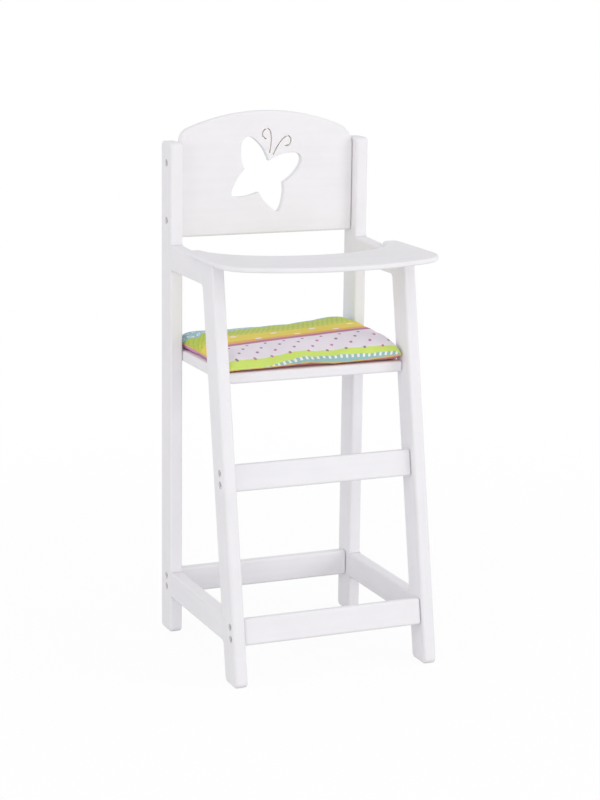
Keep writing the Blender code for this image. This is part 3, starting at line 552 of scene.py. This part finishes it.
def inward_steps(points):
    """At each point of a closed outline that turns left, the step that moves both its edges in by one."""
    ahead = np.roll(points, -1, axis=0) - points
    ahead /= np.linalg.norm(ahead, axis=1)[:, None]
    normal = np.column_stack([-ahead[:, 1], ahead[:, 0]])
    before = np.roll(normal, 1, axis=0)
    return (normal + before) / (1 + (normal * before).sum(axis=1))[:, None]


class Surface:
    """Points, faces, each face's material and each point's edge share, gathered for one mesh."""

    def __init__(self):
        self.points, self.faces, self.slots, self.edges = [], [], [], []
        self.count = 0

    def rings(self, rings, edge, slot=0, flip=False):
        """Closed rings of points, (ring, point, axis), joined into bands of quads. Returns each ring's
        numbers."""
        levels, around = rings.shape[:2]
        numbers = self.count + np.arange(levels * around).reshape(levels, around)
        self.points.append(rings.reshape(-1, 3))
        self.edges.append(np.broadcast_to(edge, (levels, around)).ravel())
        self.count += levels * around
        low, high = numbers[:-1], numbers[1:]
        quads = np.stack([low, np.roll(low, -1, 1), np.roll(high, -1, 1), high], -1).reshape(-1, 4)
        self.add(quads[:, ::-1] if flip else quads, slot)
        return numbers

    def add(self, faces, slot=0):
        self.faces += np.asarray(faces).tolist()
        self.slots += [slot] * len(faces)

    def fill(self, loops, flip):
        """A flat face bounded by the first loop of point numbers, with the other loops as holes in it."""
        points = np.vstack(self.points)
        flat = [[Vector((*points[number][:2] * FILL_SCALE, 0)) for number in loop] for loop in loops]
        numbers = np.concatenate(loops)
        for triangle in tessellate_polygon(flat):
            face = numbers[list(triangle)]
            a, b, c = points[face][:, :2]
            turns_left = (b[0] - a[0]) * (c[1] - a[1]) - (b[1] - a[1]) * (c[0] - a[0]) > 0
            self.add([face if turns_left != flip else face[::-1]])

    def mesh(self, name, matrix):
        mesh = bpy.data.meshes.new(name)
        mesh.from_pydata(np.vstack(self.points), [], self.faces)
        mesh.transform(matrix)
        mesh.polygons.foreach_set("material_index", self.slots)
        mesh.polygons.foreach_set("use_smooth", [True] * len(self.faces))
        mesh.attributes.new("edge", "FLOAT", "POINT").data.foreach_set("value", np.concatenate(self.edges))
        mesh.update()
        return mesh


def rounded_rings(points, edges, thickness):
    """The rings round a board: a quarter circle from each face to the side, with a narrow strip each side
    of it. Also each ring's edge share: the sine of twice the angle along the quarter circle, so 1 at its
    middle."""
    inward = inward_steps(points)
    angles = np.linspace(0, math.pi / 2, ROUND_STEPS + 1)
    inset = np.concatenate([1 - np.cos(angles), [1]])
    drop = np.concatenate([1 - np.sin(angles), [0]])
    strip = np.concatenate([np.zeros(ROUND_STEPS + 1), [HOLD]])
    upper = [(edges * i + s, thickness / 2 - edges * d) for i, d, s in zip(inset, drop, strip)]
    upper.insert(0, (edges * 0, thickness / 2 - edges - HOLD))
    levels = [(step, -height) for step, height in reversed(upper)] + upper
    rings = [np.column_stack([points + inward * step[:, None], height]) for step, height in levels]
    shares = np.concatenate([[0], np.sin(2 * angles), [0]])
    shares = np.concatenate([shares[::-1], shares])
    return np.array(rings), shares[:, None] * (edges > EASED_EDGE)


def hole_rings(points, rim, thickness, depth):
    """The rings of a hole from the upper face down: a small quarter circle, the wall, and the same at the
    lower face, or a floor where the hole has a depth."""
    inward = inward_steps(points)
    angles = np.linspace(math.pi / 2, 0, RIM_STEPS + 1)
    upper = [(-rim - HOLD, thickness / 2)]
    upper += [(-rim * (1 - math.cos(a)), thickness / 2 - rim * (1 - math.sin(a))) for a in angles]
    upper.append((0, thickness / 2 - rim - HOLD))
    if depth is None:
        levels = upper + [(step, -height) for step, height in reversed(upper)]
    else:
        floor = thickness / 2 - depth
        levels = upper + [(0, floor + HOLD), (HOLD, floor)]
    heights = ((step, np.full(len(points), height)) for step, height in levels)
    return np.array([np.column_stack([points + inward * step, height]) for step, height in heights])


def board(node, outline, thickness, matrix, grain, holes=()):
    """A board that stands for its solid: an outline with rounded edges, and holes of (outline, rim,
    depth, side, slot). A hole goes in from the face on its side, 1 or -1, and has no depth where it goes
    through."""
    data = np.array(outline, float)
    surface = Surface()
    rings, shares = rounded_rings(data[:, :2], data[:, 2], thickness)
    numbers = surface.rings(rings, shares)
    lower, upper = [numbers[0]], [numbers[-1]]
    for points, rim, depth, side, slot in holes:
        rings = hole_rings(np.asarray(points, float), rim, thickness, depth)
        rings[..., 2] *= side
        numbers = surface.rings(rings, 0, slot, flip=side < 0)
        (upper if side > 0 else lower).append(numbers[0])
        if depth is None:
            lower.append(numbers[-1])
        else:
            surface.fill([numbers[-1]], flip=side < 0)
    surface.fill(upper, False)
    surface.fill(lower, True)
    name = node + "_board"
    return piece(name, surface.mesh(name, matrix), [PAINT[grain], CUT_WALL], node)


def piece(name, mesh, materials, node, body="chair"):
    """A new piece that stands for a solid and moves with its body."""
    for material in materials:
        mesh.materials.append(material)
    obj = bpy.data.objects.new(name, mesh)
    scene.collection.objects.link(obj)
    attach(obj, body)
    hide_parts(node)
    return obj


def circle(u, v, radius):
    angles = 2 * math.pi * np.arange(HOLE_STEPS) / HOLE_STEPS
    return np.column_stack([u + radius * np.cos(angles), v + radius * np.sin(angles)])


# Boards of the side frames


def glued_zone(low, high, edge_point):
    """Corners up one edge of an upright, where a board between these heights is glued to it flush."""
    heights = low - EDGE_FADE, low, high, high + EDGE_FADE
    edges = EDGE_ROUND, EASED_EDGE, EASED_EDGE, EDGE_ROUND
    return [(*edge_point(height), edge, 0) for height, edge in zip(heights, edges)]


def frame_board(node, corners, side, grain, screws=()):
    """A board of a side frame, from its outline of (y, z) corners, with counterbores at these places in
    its outer face."""
    matrix = frame_at((side * FRAME_MIDDLE, 0, 0), (0, 1, 0), (0, 0, 1))
    holes = [(circle(y, z, COUNTERBORE_RADIUS), EASED_EDGE, COUNTERBORE_DEPTH, side, 0) for y, z in screws]
    return board(node, filleted(corners), FRAME_BOARD, matrix, grain, holes)


def post_front(height):
    return POST_FRONT, height


def leg_rear(height):
    return forward(leg_reach(height, LEG_WIDTH)), height


def leg_rear_at(height):
    return forward(leg_reach(height, LEG_WIDTH) - JOINT_GAP / math.cos(LEG_LEAN))


UP_THE_LEG = (0, math.sin(LEG_LEAN), math.cos(LEG_LEAN))
BACK_MIDDLE = POST_FRONT + BACK_SETBACK + BACK_BOARD / 2
REAR_RAIL_Y = POST_FRONT + REAR_RAIL_SETBACK + CROSS_BOARD / 2


def leaning_middle(height, setback):
    """The middle of a cross board that leans with the legs, this far behind their front faces."""
    return 0, forward(leg_reach(height, setback + CROSS_BOARD / 2)), height


FRONT_RAIL_AT = leaning_middle(FRONT_RAIL_MIDDLE, FRONT_RAIL_SETBACK)
FOOTREST_AT = leaning_middle(FOOTREST_MIDDLE, FOOTREST_SETBACK)
REAR_RAIL_AT = (0, REAR_RAIL_Y, REAR_RAIL_BOTTOM + RAIL_DEPTH / 2)


def screw_pair(middle, axis, half_pitch):
    """The (y, z) of the lower and the upper screw at the end of a cross board."""
    _, y, z = middle
    return [(y + reach * axis[1], z + reach * axis[2]) for reach in (-half_pitch, half_pitch)]


BACK_SCREWS = [(BACK_MIDDLE, BACK_BOTTOM + BACK_SCREW_RISE), (BACK_MIDDLE, POST_HEIGHT - BACK_SCREW_DROP)]
SCREWS = {
    "backrest": BACK_SCREWS,
    "rear_rail": screw_pair(REAR_RAIL_AT, (0, 0, 1), SCREW_PITCH / 2),
    "front_rail": screw_pair(FRONT_RAIL_AT, UP_THE_LEG, SCREW_PITCH / 2),
    "footrest": screw_pair(FOOTREST_AT, UP_THE_LEG, SCREW_PITCH / 2),
}

for side, word in ((-1, "left"), (1, "right")):
    post_rear = POST_FRONT + POST_DEPTH
    joints = glued_zone(SIDE_RAIL_BOTTOM, SIDE_RAIL_TOP, post_front)
    joints += glued_zone(ARM_BOTTOM, LEG_HEIGHT + ARM_RISE, post_front)
    corners = [
        (POST_FRONT, 0, EDGE_ROUND, END_FILLET),
        (post_rear, 0, EDGE_ROUND, END_FILLET),
        (post_rear, POST_HEIGHT, EDGE_ROUND, END_FILLET),
        (POST_FRONT, POST_HEIGHT, EDGE_ROUND, END_FILLET),
    ]
    screws = SCREWS["backrest"] + SCREWS["rear_rail"]
    frame_board(word + "_rear_post", corners + joints[::-1], side, "upright", screws)

    joints = glued_zone(SIDE_RAIL_BOTTOM, SIDE_RAIL_TOP, leg_rear)
    joints += glued_zone(ARM_BOTTOM, LEG_HEIGHT, leg_rear)[:2]
    corners = [
        (forward(leg_reach(0)), 0, EDGE_ROUND, END_FILLET),
        (*leg_rear(0), EDGE_ROUND, END_FILLET),
        *joints,
        (*leg_rear(LEG_HEIGHT), EASED_EDGE, 0),
        (forward(LEG_TOP_REACH), LEG_HEIGHT, EASED_EDGE, 0),
        (forward(leg_reach(LEG_HEIGHT - EDGE_FADE)), LEG_HEIGHT - EDGE_FADE, EDGE_ROUND, 0),
    ]
    frame_board(word + "_front_leg", corners, side, "leaning", SCREWS["footrest"] + SCREWS["front_rail"])

    rear, top = POST_FRONT - JOINT_GAP, LEG_HEIGHT + ARM_RISE
    corners = [
        (leg_rear_at(ARM_BOTTOM), ARM_BOTTOM, EASED_EDGE, 0),
        (leg_rear_at(ARM_BOTTOM) + EDGE_FADE, ARM_BOTTOM, EDGE_ROUND, 0),
        (rear - EDGE_FADE, ARM_BOTTOM, EDGE_ROUND, 0),
        (rear, ARM_BOTTOM, EASED_EDGE, 0),
        (rear, top, EASED_EDGE, 0),
        (rear - EDGE_FADE, top - ARM_RISE * EDGE_FADE / ARM_RISE_LENGTH, EDGE_ROUND, 0),
        (rear - ARM_RISE_LENGTH, LEG_HEIGHT, EDGE_ROUND, 0),
        (leg_rear_at(LEG_HEIGHT) + EDGE_FADE, LEG_HEIGHT, EDGE_ROUND, 0),
        (leg_rear_at(LEG_HEIGHT), LEG_HEIGHT, EASED_EDGE, 0),
    ]
    frame_board(word + "_armrest", corners, side, "lengthwise")

    corners = []
    for height, heading in ((SIDE_RAIL_BOTTOM, 1), (SIDE_RAIL_TOP, -1)):
        front = leg_rear_at(height)
        edge = [
            (front, height, EASED_EDGE, 0),
            (front + EDGE_FADE, height, EDGE_ROUND, 0),
            (rear - EDGE_FADE, height, EDGE_ROUND, 0),
            (rear, height, EASED_EDGE, 0),
        ]
        corners += edge[::heading]
    frame_board(word + "_side_rail", corners, side, "lengthwise")


# Boards between the frames


def oblong(half_width, low, high, edge, fillet):
    corners = ((-half_width, low), (half_width, low), (half_width, high), (-half_width, high))
    return filleted([(u, v, edge, fillet) for u, v in corners])


RAIL = oblong(CROSS_END, -RAIL_DEPTH / 2, RAIL_DEPTH / 2, CROSS_EDGE_ROUND, CROSS_FILLET)
board("rear_rail", RAIL, CROSS_BOARD, frame_at(REAR_RAIL_AT, (1, 0, 0), (0, 0, 1)), "across")
board("front_rail", RAIL, CROSS_BOARD, frame_at(FRONT_RAIL_AT, (1, 0, 0), UP_THE_LEG), "across")
board("footrest", RAIL, CROSS_BOARD, frame_at(FOOTREST_AT, (1, 0, 0), UP_THE_LEG), "across")

seat_rear = POST_FRONT + POST_DEPTH - SEAT_REAR_INSET
seat_outline = oblong(CROSS_END, forward(SEAT_REACH), seat_rear, CROSS_EDGE_ROUND, CROSS_FILLET)
matrix = frame_at((0, 0, SEAT_MIDDLE), (1, 0, 0), (0, 1, 0))
board("seat_board", seat_outline, CROSS_BOARD, matrix, "across")


def butterfly_holes():
    """The outlines of the wings and of the two antennae, turning left, in the backrest's own frame."""
    upper, lower = (smooth_line(shares, WING_STEPS) for shares in (UPPER_WING_SHARES, LOWER_WING_SHARES))
    half = np.vstack([upper[:-1], lower])
    wings = np.vstack([half, half[-2:0:-1] * (-1, 1)])[::-1] * BUTTERFLY_HALF_SPAN
    line = smooth_line(ANTENNA_SHARES, WING_STEPS) * BUTTERFLY_HALF_SPAN
    along = np.gradient(line, axis=0)
    along /= np.linalg.norm(along, axis=1)[:, None]
    across = np.column_stack([-along[:, 1], along[:, 0]]) * ANTENNA_WIDTH / 2
    ribbon = np.vstack([line - across, (line + across)[::-1]])
    turned = math.cos(BUTTERFLY_TILT), math.sin(BUTTERFLY_TILT)
    for outline, slot in ((wings, 0), (ribbon, 1), (ribbon[::-1] * (-1, 1), 1)):
        u = outline[:, 0] * turned[0] + outline[:, 1] * turned[1] + BUTTERFLY_OFFSET
        v = -outline[:, 0] * turned[1] + outline[:, 1] * turned[0] + BACK_TOP - BUTTERFLY_DROP
        points = np.column_stack([u, v])
        area = (points[:, 0] * np.roll(points[:, 1], -1) - points[:, 1] * np.roll(points[:, 0], -1)).sum()
        yield points if area > 0 else points[::-1], slot


arc_middle = BACK_ARC_OFFSET, BACK_TOP - BACK_ARC_RADIUS
fillets = BACK_RIGHT_FILLET, BACK_LEFT_FILLET
top = bowed_edge((CROSS_END, BACK_BOTTOM), (0, 1), arc_middle, BACK_ARC_RADIUS, fillets)
corners = [(side * CROSS_END, BACK_BOTTOM, CROSS_EDGE_ROUND, CROSS_FILLET) for side in (-1, 1)]
corners += [(*point, CROSS_EDGE_ROUND, 0) for point in top]
holes = [(points, EASED_EDGE * (1 if slot else 2), None, 1, slot) for points, slot in butterfly_holes()]
matrix = frame_at((0, BACK_MIDDLE, 0), (1, 0, 0), (0, 0, 1))
board("backrest_panel", filleted(corners), BACK_BOARD, matrix, "across", holes)


def tray_outline():
    """The tray's front bows out, and its rear is hollowed by half an ellipse between two tips."""
    rear, half_width = forward(TIP_REACH), TRAY_WIDTH / 2
    middle = (0, forward(TRAY_REACH - TRAY_FRONT_RADIUS))
    front = bowed_edge((-half_width, rear), (0, -1), middle, TRAY_FRONT_RADIUS, [TRAY_CORNER_FILLET] * 2)
    reach = half_width - TRAY_TIP_WIDTH
    angles = np.linspace(0, math.pi, 2 * ARC_STEPS + 1)
    hollow = np.column_stack([reach * np.cos(angles), rear - TRAY_HOLLOW_DEPTH * np.sin(angles)])
    corners = [(*point, TRAY_EDGE_ROUND, 0) for point in front]
    corners.append((half_width, rear, TRAY_EDGE_ROUND, TRAY_TIP_FILLET))
    corners.append((*hollow[0], TRAY_EDGE_ROUND, TRAY_TIP_FILLET))
    # The fillets reach past the points that are left out here
    corners += [(*point, TRAY_EDGE_ROUND, 0) for point in hollow[2:-2]]
    corners.append((*hollow[-1], TRAY_EDGE_ROUND, TRAY_TIP_FILLET))
    corners.append((-half_width, rear, TRAY_EDGE_ROUND, TRAY_TIP_FILLET))
    return filleted(corners)


matrix = frame_at((0, 0, TRAY_BOTTOM + TRAY_THICKNESS / 2), (1, 0, 0), (0, 1, 0))
board("tray", tray_outline(), TRAY_THICKNESS, matrix, "across")


# Seat cushion

CUSHION_SIDE_CLEARANCE = 0.0018
CUSHION_DEPTH = 0.156
CUSHION_OVERHANG = 0.001
CUSHION_DRAW_IN = {"left": 0.003, "right": 0.0006, "front": 0.002, "rear": 0.003}
CUSHION_WIDTH = 2 * (INNER - CUSHION_SIDE_CLEARANCE)
CUSHION_MIDDLE = forward(SEAT_REACH + CUSHION_OVERHANG - CUSHION_DEPTH / 2)
CUSHION_COLUMNS, CUSHION_ROWS = 56, 44
# How far the print is pulled towards the front seam: at places across, from -1 at the left to 1, and in rows
# from the front (-1) to the rear (1)
PULL_ACROSS = (-1, -0.93, -0.66, -0.5, -0.42, -0.25, 0.03, 0.37, 0.7, 0.93, 1)
PULL = {
    -1: (0.0085, 0.0085, 0.0085, 0.0080, 0.0060, 0.0025, -0.0010, -0.0005, 0.0020, 0.0035, 0.0095),
    -0.77: (0.0035, 0.0030, 0.0015, 0, -0.0015, -0.0022, -0.0030, -0.0010, 0.0025, 0.0055, 0.0090),
    -0.35: (0.0100, 0.0095, 0.0065, 0.0042, 0.0034, 0.0018, -0.0008, -0.0028, -0.0035, -0.0042, -0.0045),
    0.1: (-0.0030, -0.0020, -0.0020, 0, 0.0003, 0.0012, 0.0022, 0.0008, -0.0015, 0, 0),
    0.5: (-0.0120, 0.0060, 0.0060, 0.0010, 0, 0, -0.0040, -0.0060, -0.0060, -0.0060, -0.0060),
    1: (-0.0260, 0.0020, 0.0040, 0, 0, 0, -0.0060, -0.0090, -0.0090, -0.0090, -0.0090),
}
# Thickness, in the same way
CUSHION_ACROSS = (-1, -0.6, -0.2, 0.2, 0.5, 0.75, 1)
CUSHION_THICKNESS = {
    -1: (0.0155, 0.0163, 0.0172, 0.0180, 0.0192, 0.0202, 0.0210),
    0.1: (0.0183, 0.0193, 0.0209, 0.0226, 0.0243, 0.0255, 0.0252),
    0.82: (0.0186, 0.0162, 0.0182, 0.0192, 0.0208, 0.0236, 0.0243),
    1: (0.0186, 0.0162, 0.0182, 0.0192, 0.0208, 0.0236, 0.0243),
}
# Powers of the swell: the higher, the steeper the cloth rises from the seam. The front has one at the left
# and one at the right
CUSHION_POWERS = {"left": 26, "right": 40, "front": (3.0, 6.0), "rear": 18}
CUSHION_UNDER_POWERS = 70, 14  # along the sides and the rear, and along the front
CUSHION_CLOSER = 0.7  # how much closer the rows and columns lie near the seam
# Height of the seam along each edge: (place, height), with places from -1 at the left or the front end to 1
FRONT_SEAM = (
    (-1, 0.0024), (-0.52, 0.0030), (-0.2, 0.0048), (-0.06, 0.0053), (0.08, 0.0040), (0.21, 0.0026),
    (0.4, 0.0028), (0.62, 0.0038), (0.8, 0.0050), (1, 0.0070),
)
REAR_SEAM = ((-1, 0.0070), (-0.4, 0.0045), (0.3, 0.0052), (1, 0.0060))
LEFT_SEAM = ((-1, 0.0024), (-0.2, 0.0042), (0.2, 0.0055), (0.5, 0.0063), (1, 0.0070))
RIGHT_SEAM = ((-1, 0.0070), (-0.6, 0.0042), (0.1, 0.0046), (1, 0.0060))
CUSHION_SIDE_GAP = 0.0006  # the least that is left between the cloth and the side frames
CUSHION_FREE_ROWS = 3  # rows of the underside, next to the seam, that the air may move
SEAM_CREASE = 0.7
CLOTH_SETTINGS = {
    "quality": 8,
    "mass": 0.15,
    "tension_stiffness": 12.0,
    "compression_stiffness": 12.0,
    "shear_stiffness": 5.0,
    "bending_stiffness": 0.25,
    "use_pressure": True,
    "uniform_pressure_force": 1.5,
    "shrink_min": -0.015,
    "vertex_group_mass": "held",
}
CLOTH_MOST_MOVE = 0.004
CLOTH_FRAMES = 20


def height_along(table, at):
    places, heights = np.array(table).T
    return np.interp(at, places, heights)


def seam_height(s, t):
    """The seam's height at the edges, carried inwards: the sum of the blends between opposite edges, less
    the blend between the four corners."""
    right, rear = (1 + s) / 2, (1 + t) / 2
    between = height_along(FRONT_SEAM, s) * (1 - rear) + height_along(REAR_SEAM, s) * rear
    between += height_along(LEFT_SEAM, t) * (1 - right) + height_along(RIGHT_SEAM, t) * right
    for table, share in ((FRONT_SEAM, 1 - rear), (REAR_SEAM, rear)):
        between -= share * (table[0][1] * (1 - right) + table[-1][1] * right)
    return between


def spread(across, table, s, t):
    """A table of rows spread over the grid (s, t), straight between its places."""
    rows = np.array([np.interp(s[0], across, row) for row in table.values()])
    return np.array([np.interp(t[:, 0], list(table), column) for column in rows.T]).T


def cushion_places(s, t, top):
    """Points of one sheet of the cushion, for s across and t along it, from -1 to 1: its sides are drawn
    in by a parabola between the corners, and its height is a seam height plus a swell, the root of (1 -
    s^n)(1 - t^m), with powers of their own on each side."""
    power_s = np.where(s < 0, CUSHION_POWERS["left"], CUSHION_POWERS["right"])
    low, high = CUSHION_POWERS["front"]
    power_t = np.where(t < 0, low + (high - low) * np.maximum(s, 0) ** 2, CUSHION_POWERS["rear"])
    swell = np.sqrt((1 - abs(s) ** power_s) * (1 - abs(t) ** power_t))
    draw_s = np.where(s < 0, CUSHION_DRAW_IN["left"], CUSHION_DRAW_IN["right"])
    draw_t = np.where(t < 0, CUSHION_DRAW_IN["front"], CUSHION_DRAW_IN["rear"])
    x = s * (CUSHION_WIDTH / 2 - draw_s * (1 - t**2))
    y = t * (CUSHION_DEPTH / 2 - draw_t * (1 - s**2))
    seam = seam_height(s, t)
    if top:
        z = seam + (spread(CUSHION_ACROSS, CUSHION_THICKNESS, s, t) - seam) * swell
    else:
        sides, front = CUSHION_UNDER_POWERS
        z = seam * (1 - (1 - abs(s) ** sides) * (1 - abs(t) ** np.where(t < 0, front, sides)))
    return np.stack([x, y + CUSHION_MIDDLE, z + SEAT_TOP + JOINT_GAP], -1)


def puffed(mesh, held):
    """The cushion's cloth blown up a little by cloth simulation: the points in held stay, and the others
    move at most by a cap. Returns their new places."""
    obj = bpy.data.objects.new("cushion_cloth", mesh)
    scene.collection.objects.link(obj)
    obj.vertex_groups.new(name="held").add(held.tolist(), 1.0, "REPLACE")
    start = np.empty(len(mesh.vertices) * 3)
    mesh.vertices.foreach_get("co", start)
    start = start.reshape(-1, 3)
    cloth = obj.modifiers.new("cloth", "CLOTH")
    for name, value in CLOTH_SETTINGS.items():
        setattr(cloth.settings, name, value)
    cloth.settings.effector_weights.gravity = 0
    cloth.point_cache.frame_start, cloth.point_cache.frame_end = 1, CLOTH_FRAMES
    for step in range(1, CLOTH_FRAMES + 1):
        scene.frame_set(step)
    evaluated = obj.evaluated_get(bpy.context.evaluated_depsgraph_get()).data
    end = np.empty(len(evaluated.vertices) * 3)
    evaluated.vertices.foreach_get("co", end)
    scene.frame_set(1)
    bpy.data.objects.remove(obj)
    move = end.reshape(-1, 3) - start
    length = np.linalg.norm(move, axis=1)[:, None]
    return start + move * CLOTH_MOST_MOVE / np.maximum(length, CLOTH_MOST_MOVE)


def laid_flat(sheet):
    """Where each point of a sheet lies once the cloth is laid flat: lengths along it from its middle row
    and column, stretched so that each half is as long everywhere, with v counted from the front seam."""
    places = []
    for axis in (1, 0):
        steps = np.linalg.norm(np.diff(sheet, axis=axis), axis=-1)
        lengths = np.insert(np.cumsum(steps, axis), 0, 0, axis)
        middle, end = sheet.shape[axis] // 2, sheet.shape[axis] - 1
        centre = sheet.shape[1 - axis] // 2
        lengths -= np.take(lengths, [middle], axis)
        for half, edge in ((slice(0, middle), 0), (slice(middle + 1, end + 1), end)):
            index = (half, slice(None)) if axis == 0 else (slice(None), half)
            edge_lengths = np.take(lengths, [edge], axis)
            lengths[index] *= np.take(edge_lengths, [centre], 1 - axis) / edge_lengths
        places.append(lengths)
    places[1] -= places[1][0, 0]
    return np.stack(places, -1)


def cushion():
    """Two sheets of cloth joined at their seam, puffed up, and smoothed by one subdivision. Its UV map is
    the cloth laid flat, in metres: u across it, and v from the front seam, back over the top and negative
    underneath."""
    steps = [np.linspace(-1, 1, count + 1) for count in (CUSHION_COLUMNS, CUSHION_ROWS)]
    s, t = np.meshgrid(*(step + CUSHION_CLOSER * (np.sin(step * math.pi / 2) - step) for step in steps))
    top = np.arange(s.size).reshape(s.shape)
    bottom = top.copy()
    inside = (slice(1, -1), slice(1, -1))
    bottom[inside] = s.size + np.arange(s[inside].size).reshape(s[inside].shape)
    sheets = cushion_places(s, t, True), cushion_places(s[inside], t[inside], False)
    points = np.vstack([sheet.reshape(-1, 3) for sheet in sheets])
    front, back = slice(0, -1), slice(1, None)
    corners = [(front, front), (front, back), (back, back), (back, front)]
    faces = [np.stack([top[c] for c in corners], -1), np.stack([bottom[c] for c in corners[::-1]], -1)]
    mesh = bpy.data.meshes.new("seat_cushion_cloth")
    mesh.from_pydata(points, [], np.vstack([f.reshape(-1, 4) for f in faces]).tolist())
    border = np.unique(np.concatenate([top[0], top[-1], top[:, 0], top[:, -1]]))
    still = slice(1 + CUSHION_FREE_ROWS, -1 - CUSHION_FREE_ROWS)
    places = puffed(mesh, np.concatenate([border, bottom[still, still].ravel()]))
    places[:, 2] = np.maximum(places[:, 2], SEAT_TOP + JOINT_GAP)
    side = INNER - CUSHION_SIDE_GAP
    places[:, 0] = np.clip(places[:, 0], -side, side)
    mesh.vertices.foreach_set("co", places.ravel())
    laid = laid_flat(places[top]), laid_flat(places[bottom])
    from_seam = []
    for sheet in laid:
        low, high = sheet[0, 0], sheet[-1, -1]
        from_seam.append(np.minimum(sheet - low, high - sheet).min(axis=-1))
    seam_distance = np.concatenate([from_seam[0].ravel(), -from_seam[1][inside].ravel()])
    mesh.attributes.new("seam_distance", "FLOAT", "POINT").data.foreach_set("value", seam_distance)
    laid[0][..., 1] += spread(PULL_ACROSS, PULL, s, t)
    laid[1][..., 1] *= -1
    flat = [np.stack([laid[0][c] for c in corners], -2), np.stack([laid[1][c] for c in corners[::-1]], -2)]
    flat = np.concatenate([sheet.ravel() for sheet in flat])
    mesh.uv_layers.new(name="cloth").data.foreach_set("uv", flat)
    mesh.update()
    ends = np.empty(len(mesh.edges) * 2, int)
    mesh.edges.foreach_get("vertices", ends)
    on_seam = np.isin(ends.reshape(-1, 2), border).all(axis=1)
    mesh.attributes.new("crease_edge", "FLOAT", "EDGE").data.foreach_set("value", SEAM_CREASE * on_seam)
    obj = piece("seat_cushion_cloth", mesh, [CLOTH], "seat_cushion", "cushion")
    smooth = obj.modifiers.new("smooth", "SUBSURF")
    smooth.levels = smooth.render_levels = 1
    mesh.polygons.foreach_set("use_smooth", [True] * len(mesh.polygons))
    return obj


cushion()


# Screws and dowels

for name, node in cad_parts.items():
    for ending, material in (("_screw", STEEL), ("_dowel", BEECH)):
        if name.endswith(ending):
            node.data.materials.clear()
            node.data.materials.append(material)


# Camera, light and surroundings

CAMERA_AT = (-0.92761, -2.14826, 0.80038)
CAMERA_YAW, CAMERA_PITCH, CAMERA_ROLL = -0.40682, -0.21751, 0.01343
CAMERA_LENS = 98.262


def look_axes(yaw, pitch, roll):
    """The camera's right, up and backward axes: turned by its yaw about Z, then tipped by its pitch, then
    rolled."""
    ahead = Vector((-math.sin(yaw) * math.cos(pitch), math.cos(yaw) * math.cos(pitch), math.sin(pitch)))
    right = Vector((math.cos(yaw), math.sin(yaw), 0))
    up = right.cross(ahead)
    cos, sin = math.cos(roll), math.sin(roll)
    return Matrix((cos * right + sin * up, cos * up - sin * right, -ahead)).transposed()


camera = bpy.data.objects.new("camera", bpy.data.cameras.new("camera"))
turned = look_axes(CAMERA_YAW, CAMERA_PITCH, CAMERA_ROLL).to_4x4()
camera.matrix_world = Matrix.Translation(CAMERA_AT) @ turned
camera.data.sensor_width = 36.0
camera.data.lens = CAMERA_LENS
camera.data.clip_start, camera.data.clip_end = 0.05, 50.0
scene.collection.objects.link(camera)
scene.camera = camera


PURE_WHITE = (1, 1, 1, 1)
WORLD_LIGHT = 0.77
FLOOR_REACH = 6.0
FLOOR_ROUGHNESS = 0.9
FLOOR_COLOUR = (0.68, 0.68, 0.68, 1)  # as it lights the chair; the camera sees it white
FLOOR_GLOW = 0.9  # share of pure white in what is seen of it near the chair; the rest keeps the shadow
FLOOR_FADE = 0.45, 1.3  # the distances between which it turns all white
LAMPS = {  # place, width and power
    "front": ((-0.9, -2.5, 0.8), 1.6, 7.5),
    "right": ((2.1, -1.6, 0.9), 1.6, 18.5),
    "left": ((-2.4, -0.9, 0.7), 1.6, 10.5),
    "back": ((0.3, 2.4, 1.2), 1.6, 3.0),
}
LAMP_AIM = (0, 0, 0.3)


def seen_ray(t):
    """1 for rays that the camera sees, straight or in gloss or glass."""
    path = t.node("ShaderNodeLightPath").outputs
    seen = t.math("MAXIMUM", path["Is Camera Ray"], path["Is Glossy Ray"])
    return t.math("MAXIMUM", seen, path["Is Transmission Ray"])


def soft_lamp(name, place, width, power):
    """A round lamp that faces the chair."""
    light = bpy.data.lights.new(name, "AREA")
    light.shape, light.size, light.energy = "DISK", width, power
    obj = bpy.data.objects.new(name, light)
    obj.location = place
    obj.rotation_euler = (Vector(place) - Vector(LAMP_AIM)).to_track_quat("Z", "Y").to_euler()
    scene.collection.objects.link(obj)


def surroundings():
    """A white world, a white floor that keeps a faint shadow, and broad soft lamps."""
    world = bpy.data.worlds.new("studio")
    scene.world = world
    world.use_nodes = True
    t = Tree(world.node_tree)
    background = world.node_tree.nodes["Background"]
    background.inputs["Color"].default_value = PURE_WHITE
    t.link(t.mix(seen_ray(t), WORLD_LIGHT, 1.0, "FLOAT"), background.inputs["Strength"])

    material, t, shader = finish("white_floor", {"Roughness": FLOOR_ROUGHNESS})
    seen = seen_ray(t)
    t.link(t.mix(seen, FLOOR_COLOUR, PURE_WHITE), shader.inputs["Base Color"])
    glow = t.node("ShaderNodeEmission", {"Color": PURE_WHITE, "Strength": 1.0})
    distance = t.node("ShaderNodeVectorMath", {0: t.object_place()}, operation="LENGTH").outputs["Value"]
    share = t.times(seen, t.ramp(distance, *FLOOR_FADE, FLOOR_GLOW, 1.0))
    mixed = t.node("ShaderNodeMixShader", {0: share, 1: shader.outputs[0], 2: glow.outputs[0]})
    t.link(mixed.outputs[0], material.node_tree.nodes["Material Output"].inputs["Surface"])
    mesh = bpy.data.meshes.new("floor")
    corners = [(x * FLOOR_REACH, y * FLOOR_REACH, 0) for x, y in ((-1, -1), (1, -1), (1, 1), (-1, 1))]
    mesh.from_pydata(corners, [], [(0, 1, 2, 3)])
    mesh.materials.append(material)
    floor = bpy.data.objects.new("floor", mesh)
    scene.collection.objects.link(floor)

    for name, (place, width, power) in LAMPS.items():
        soft_lamp(name, place, width, power)


surroundings()
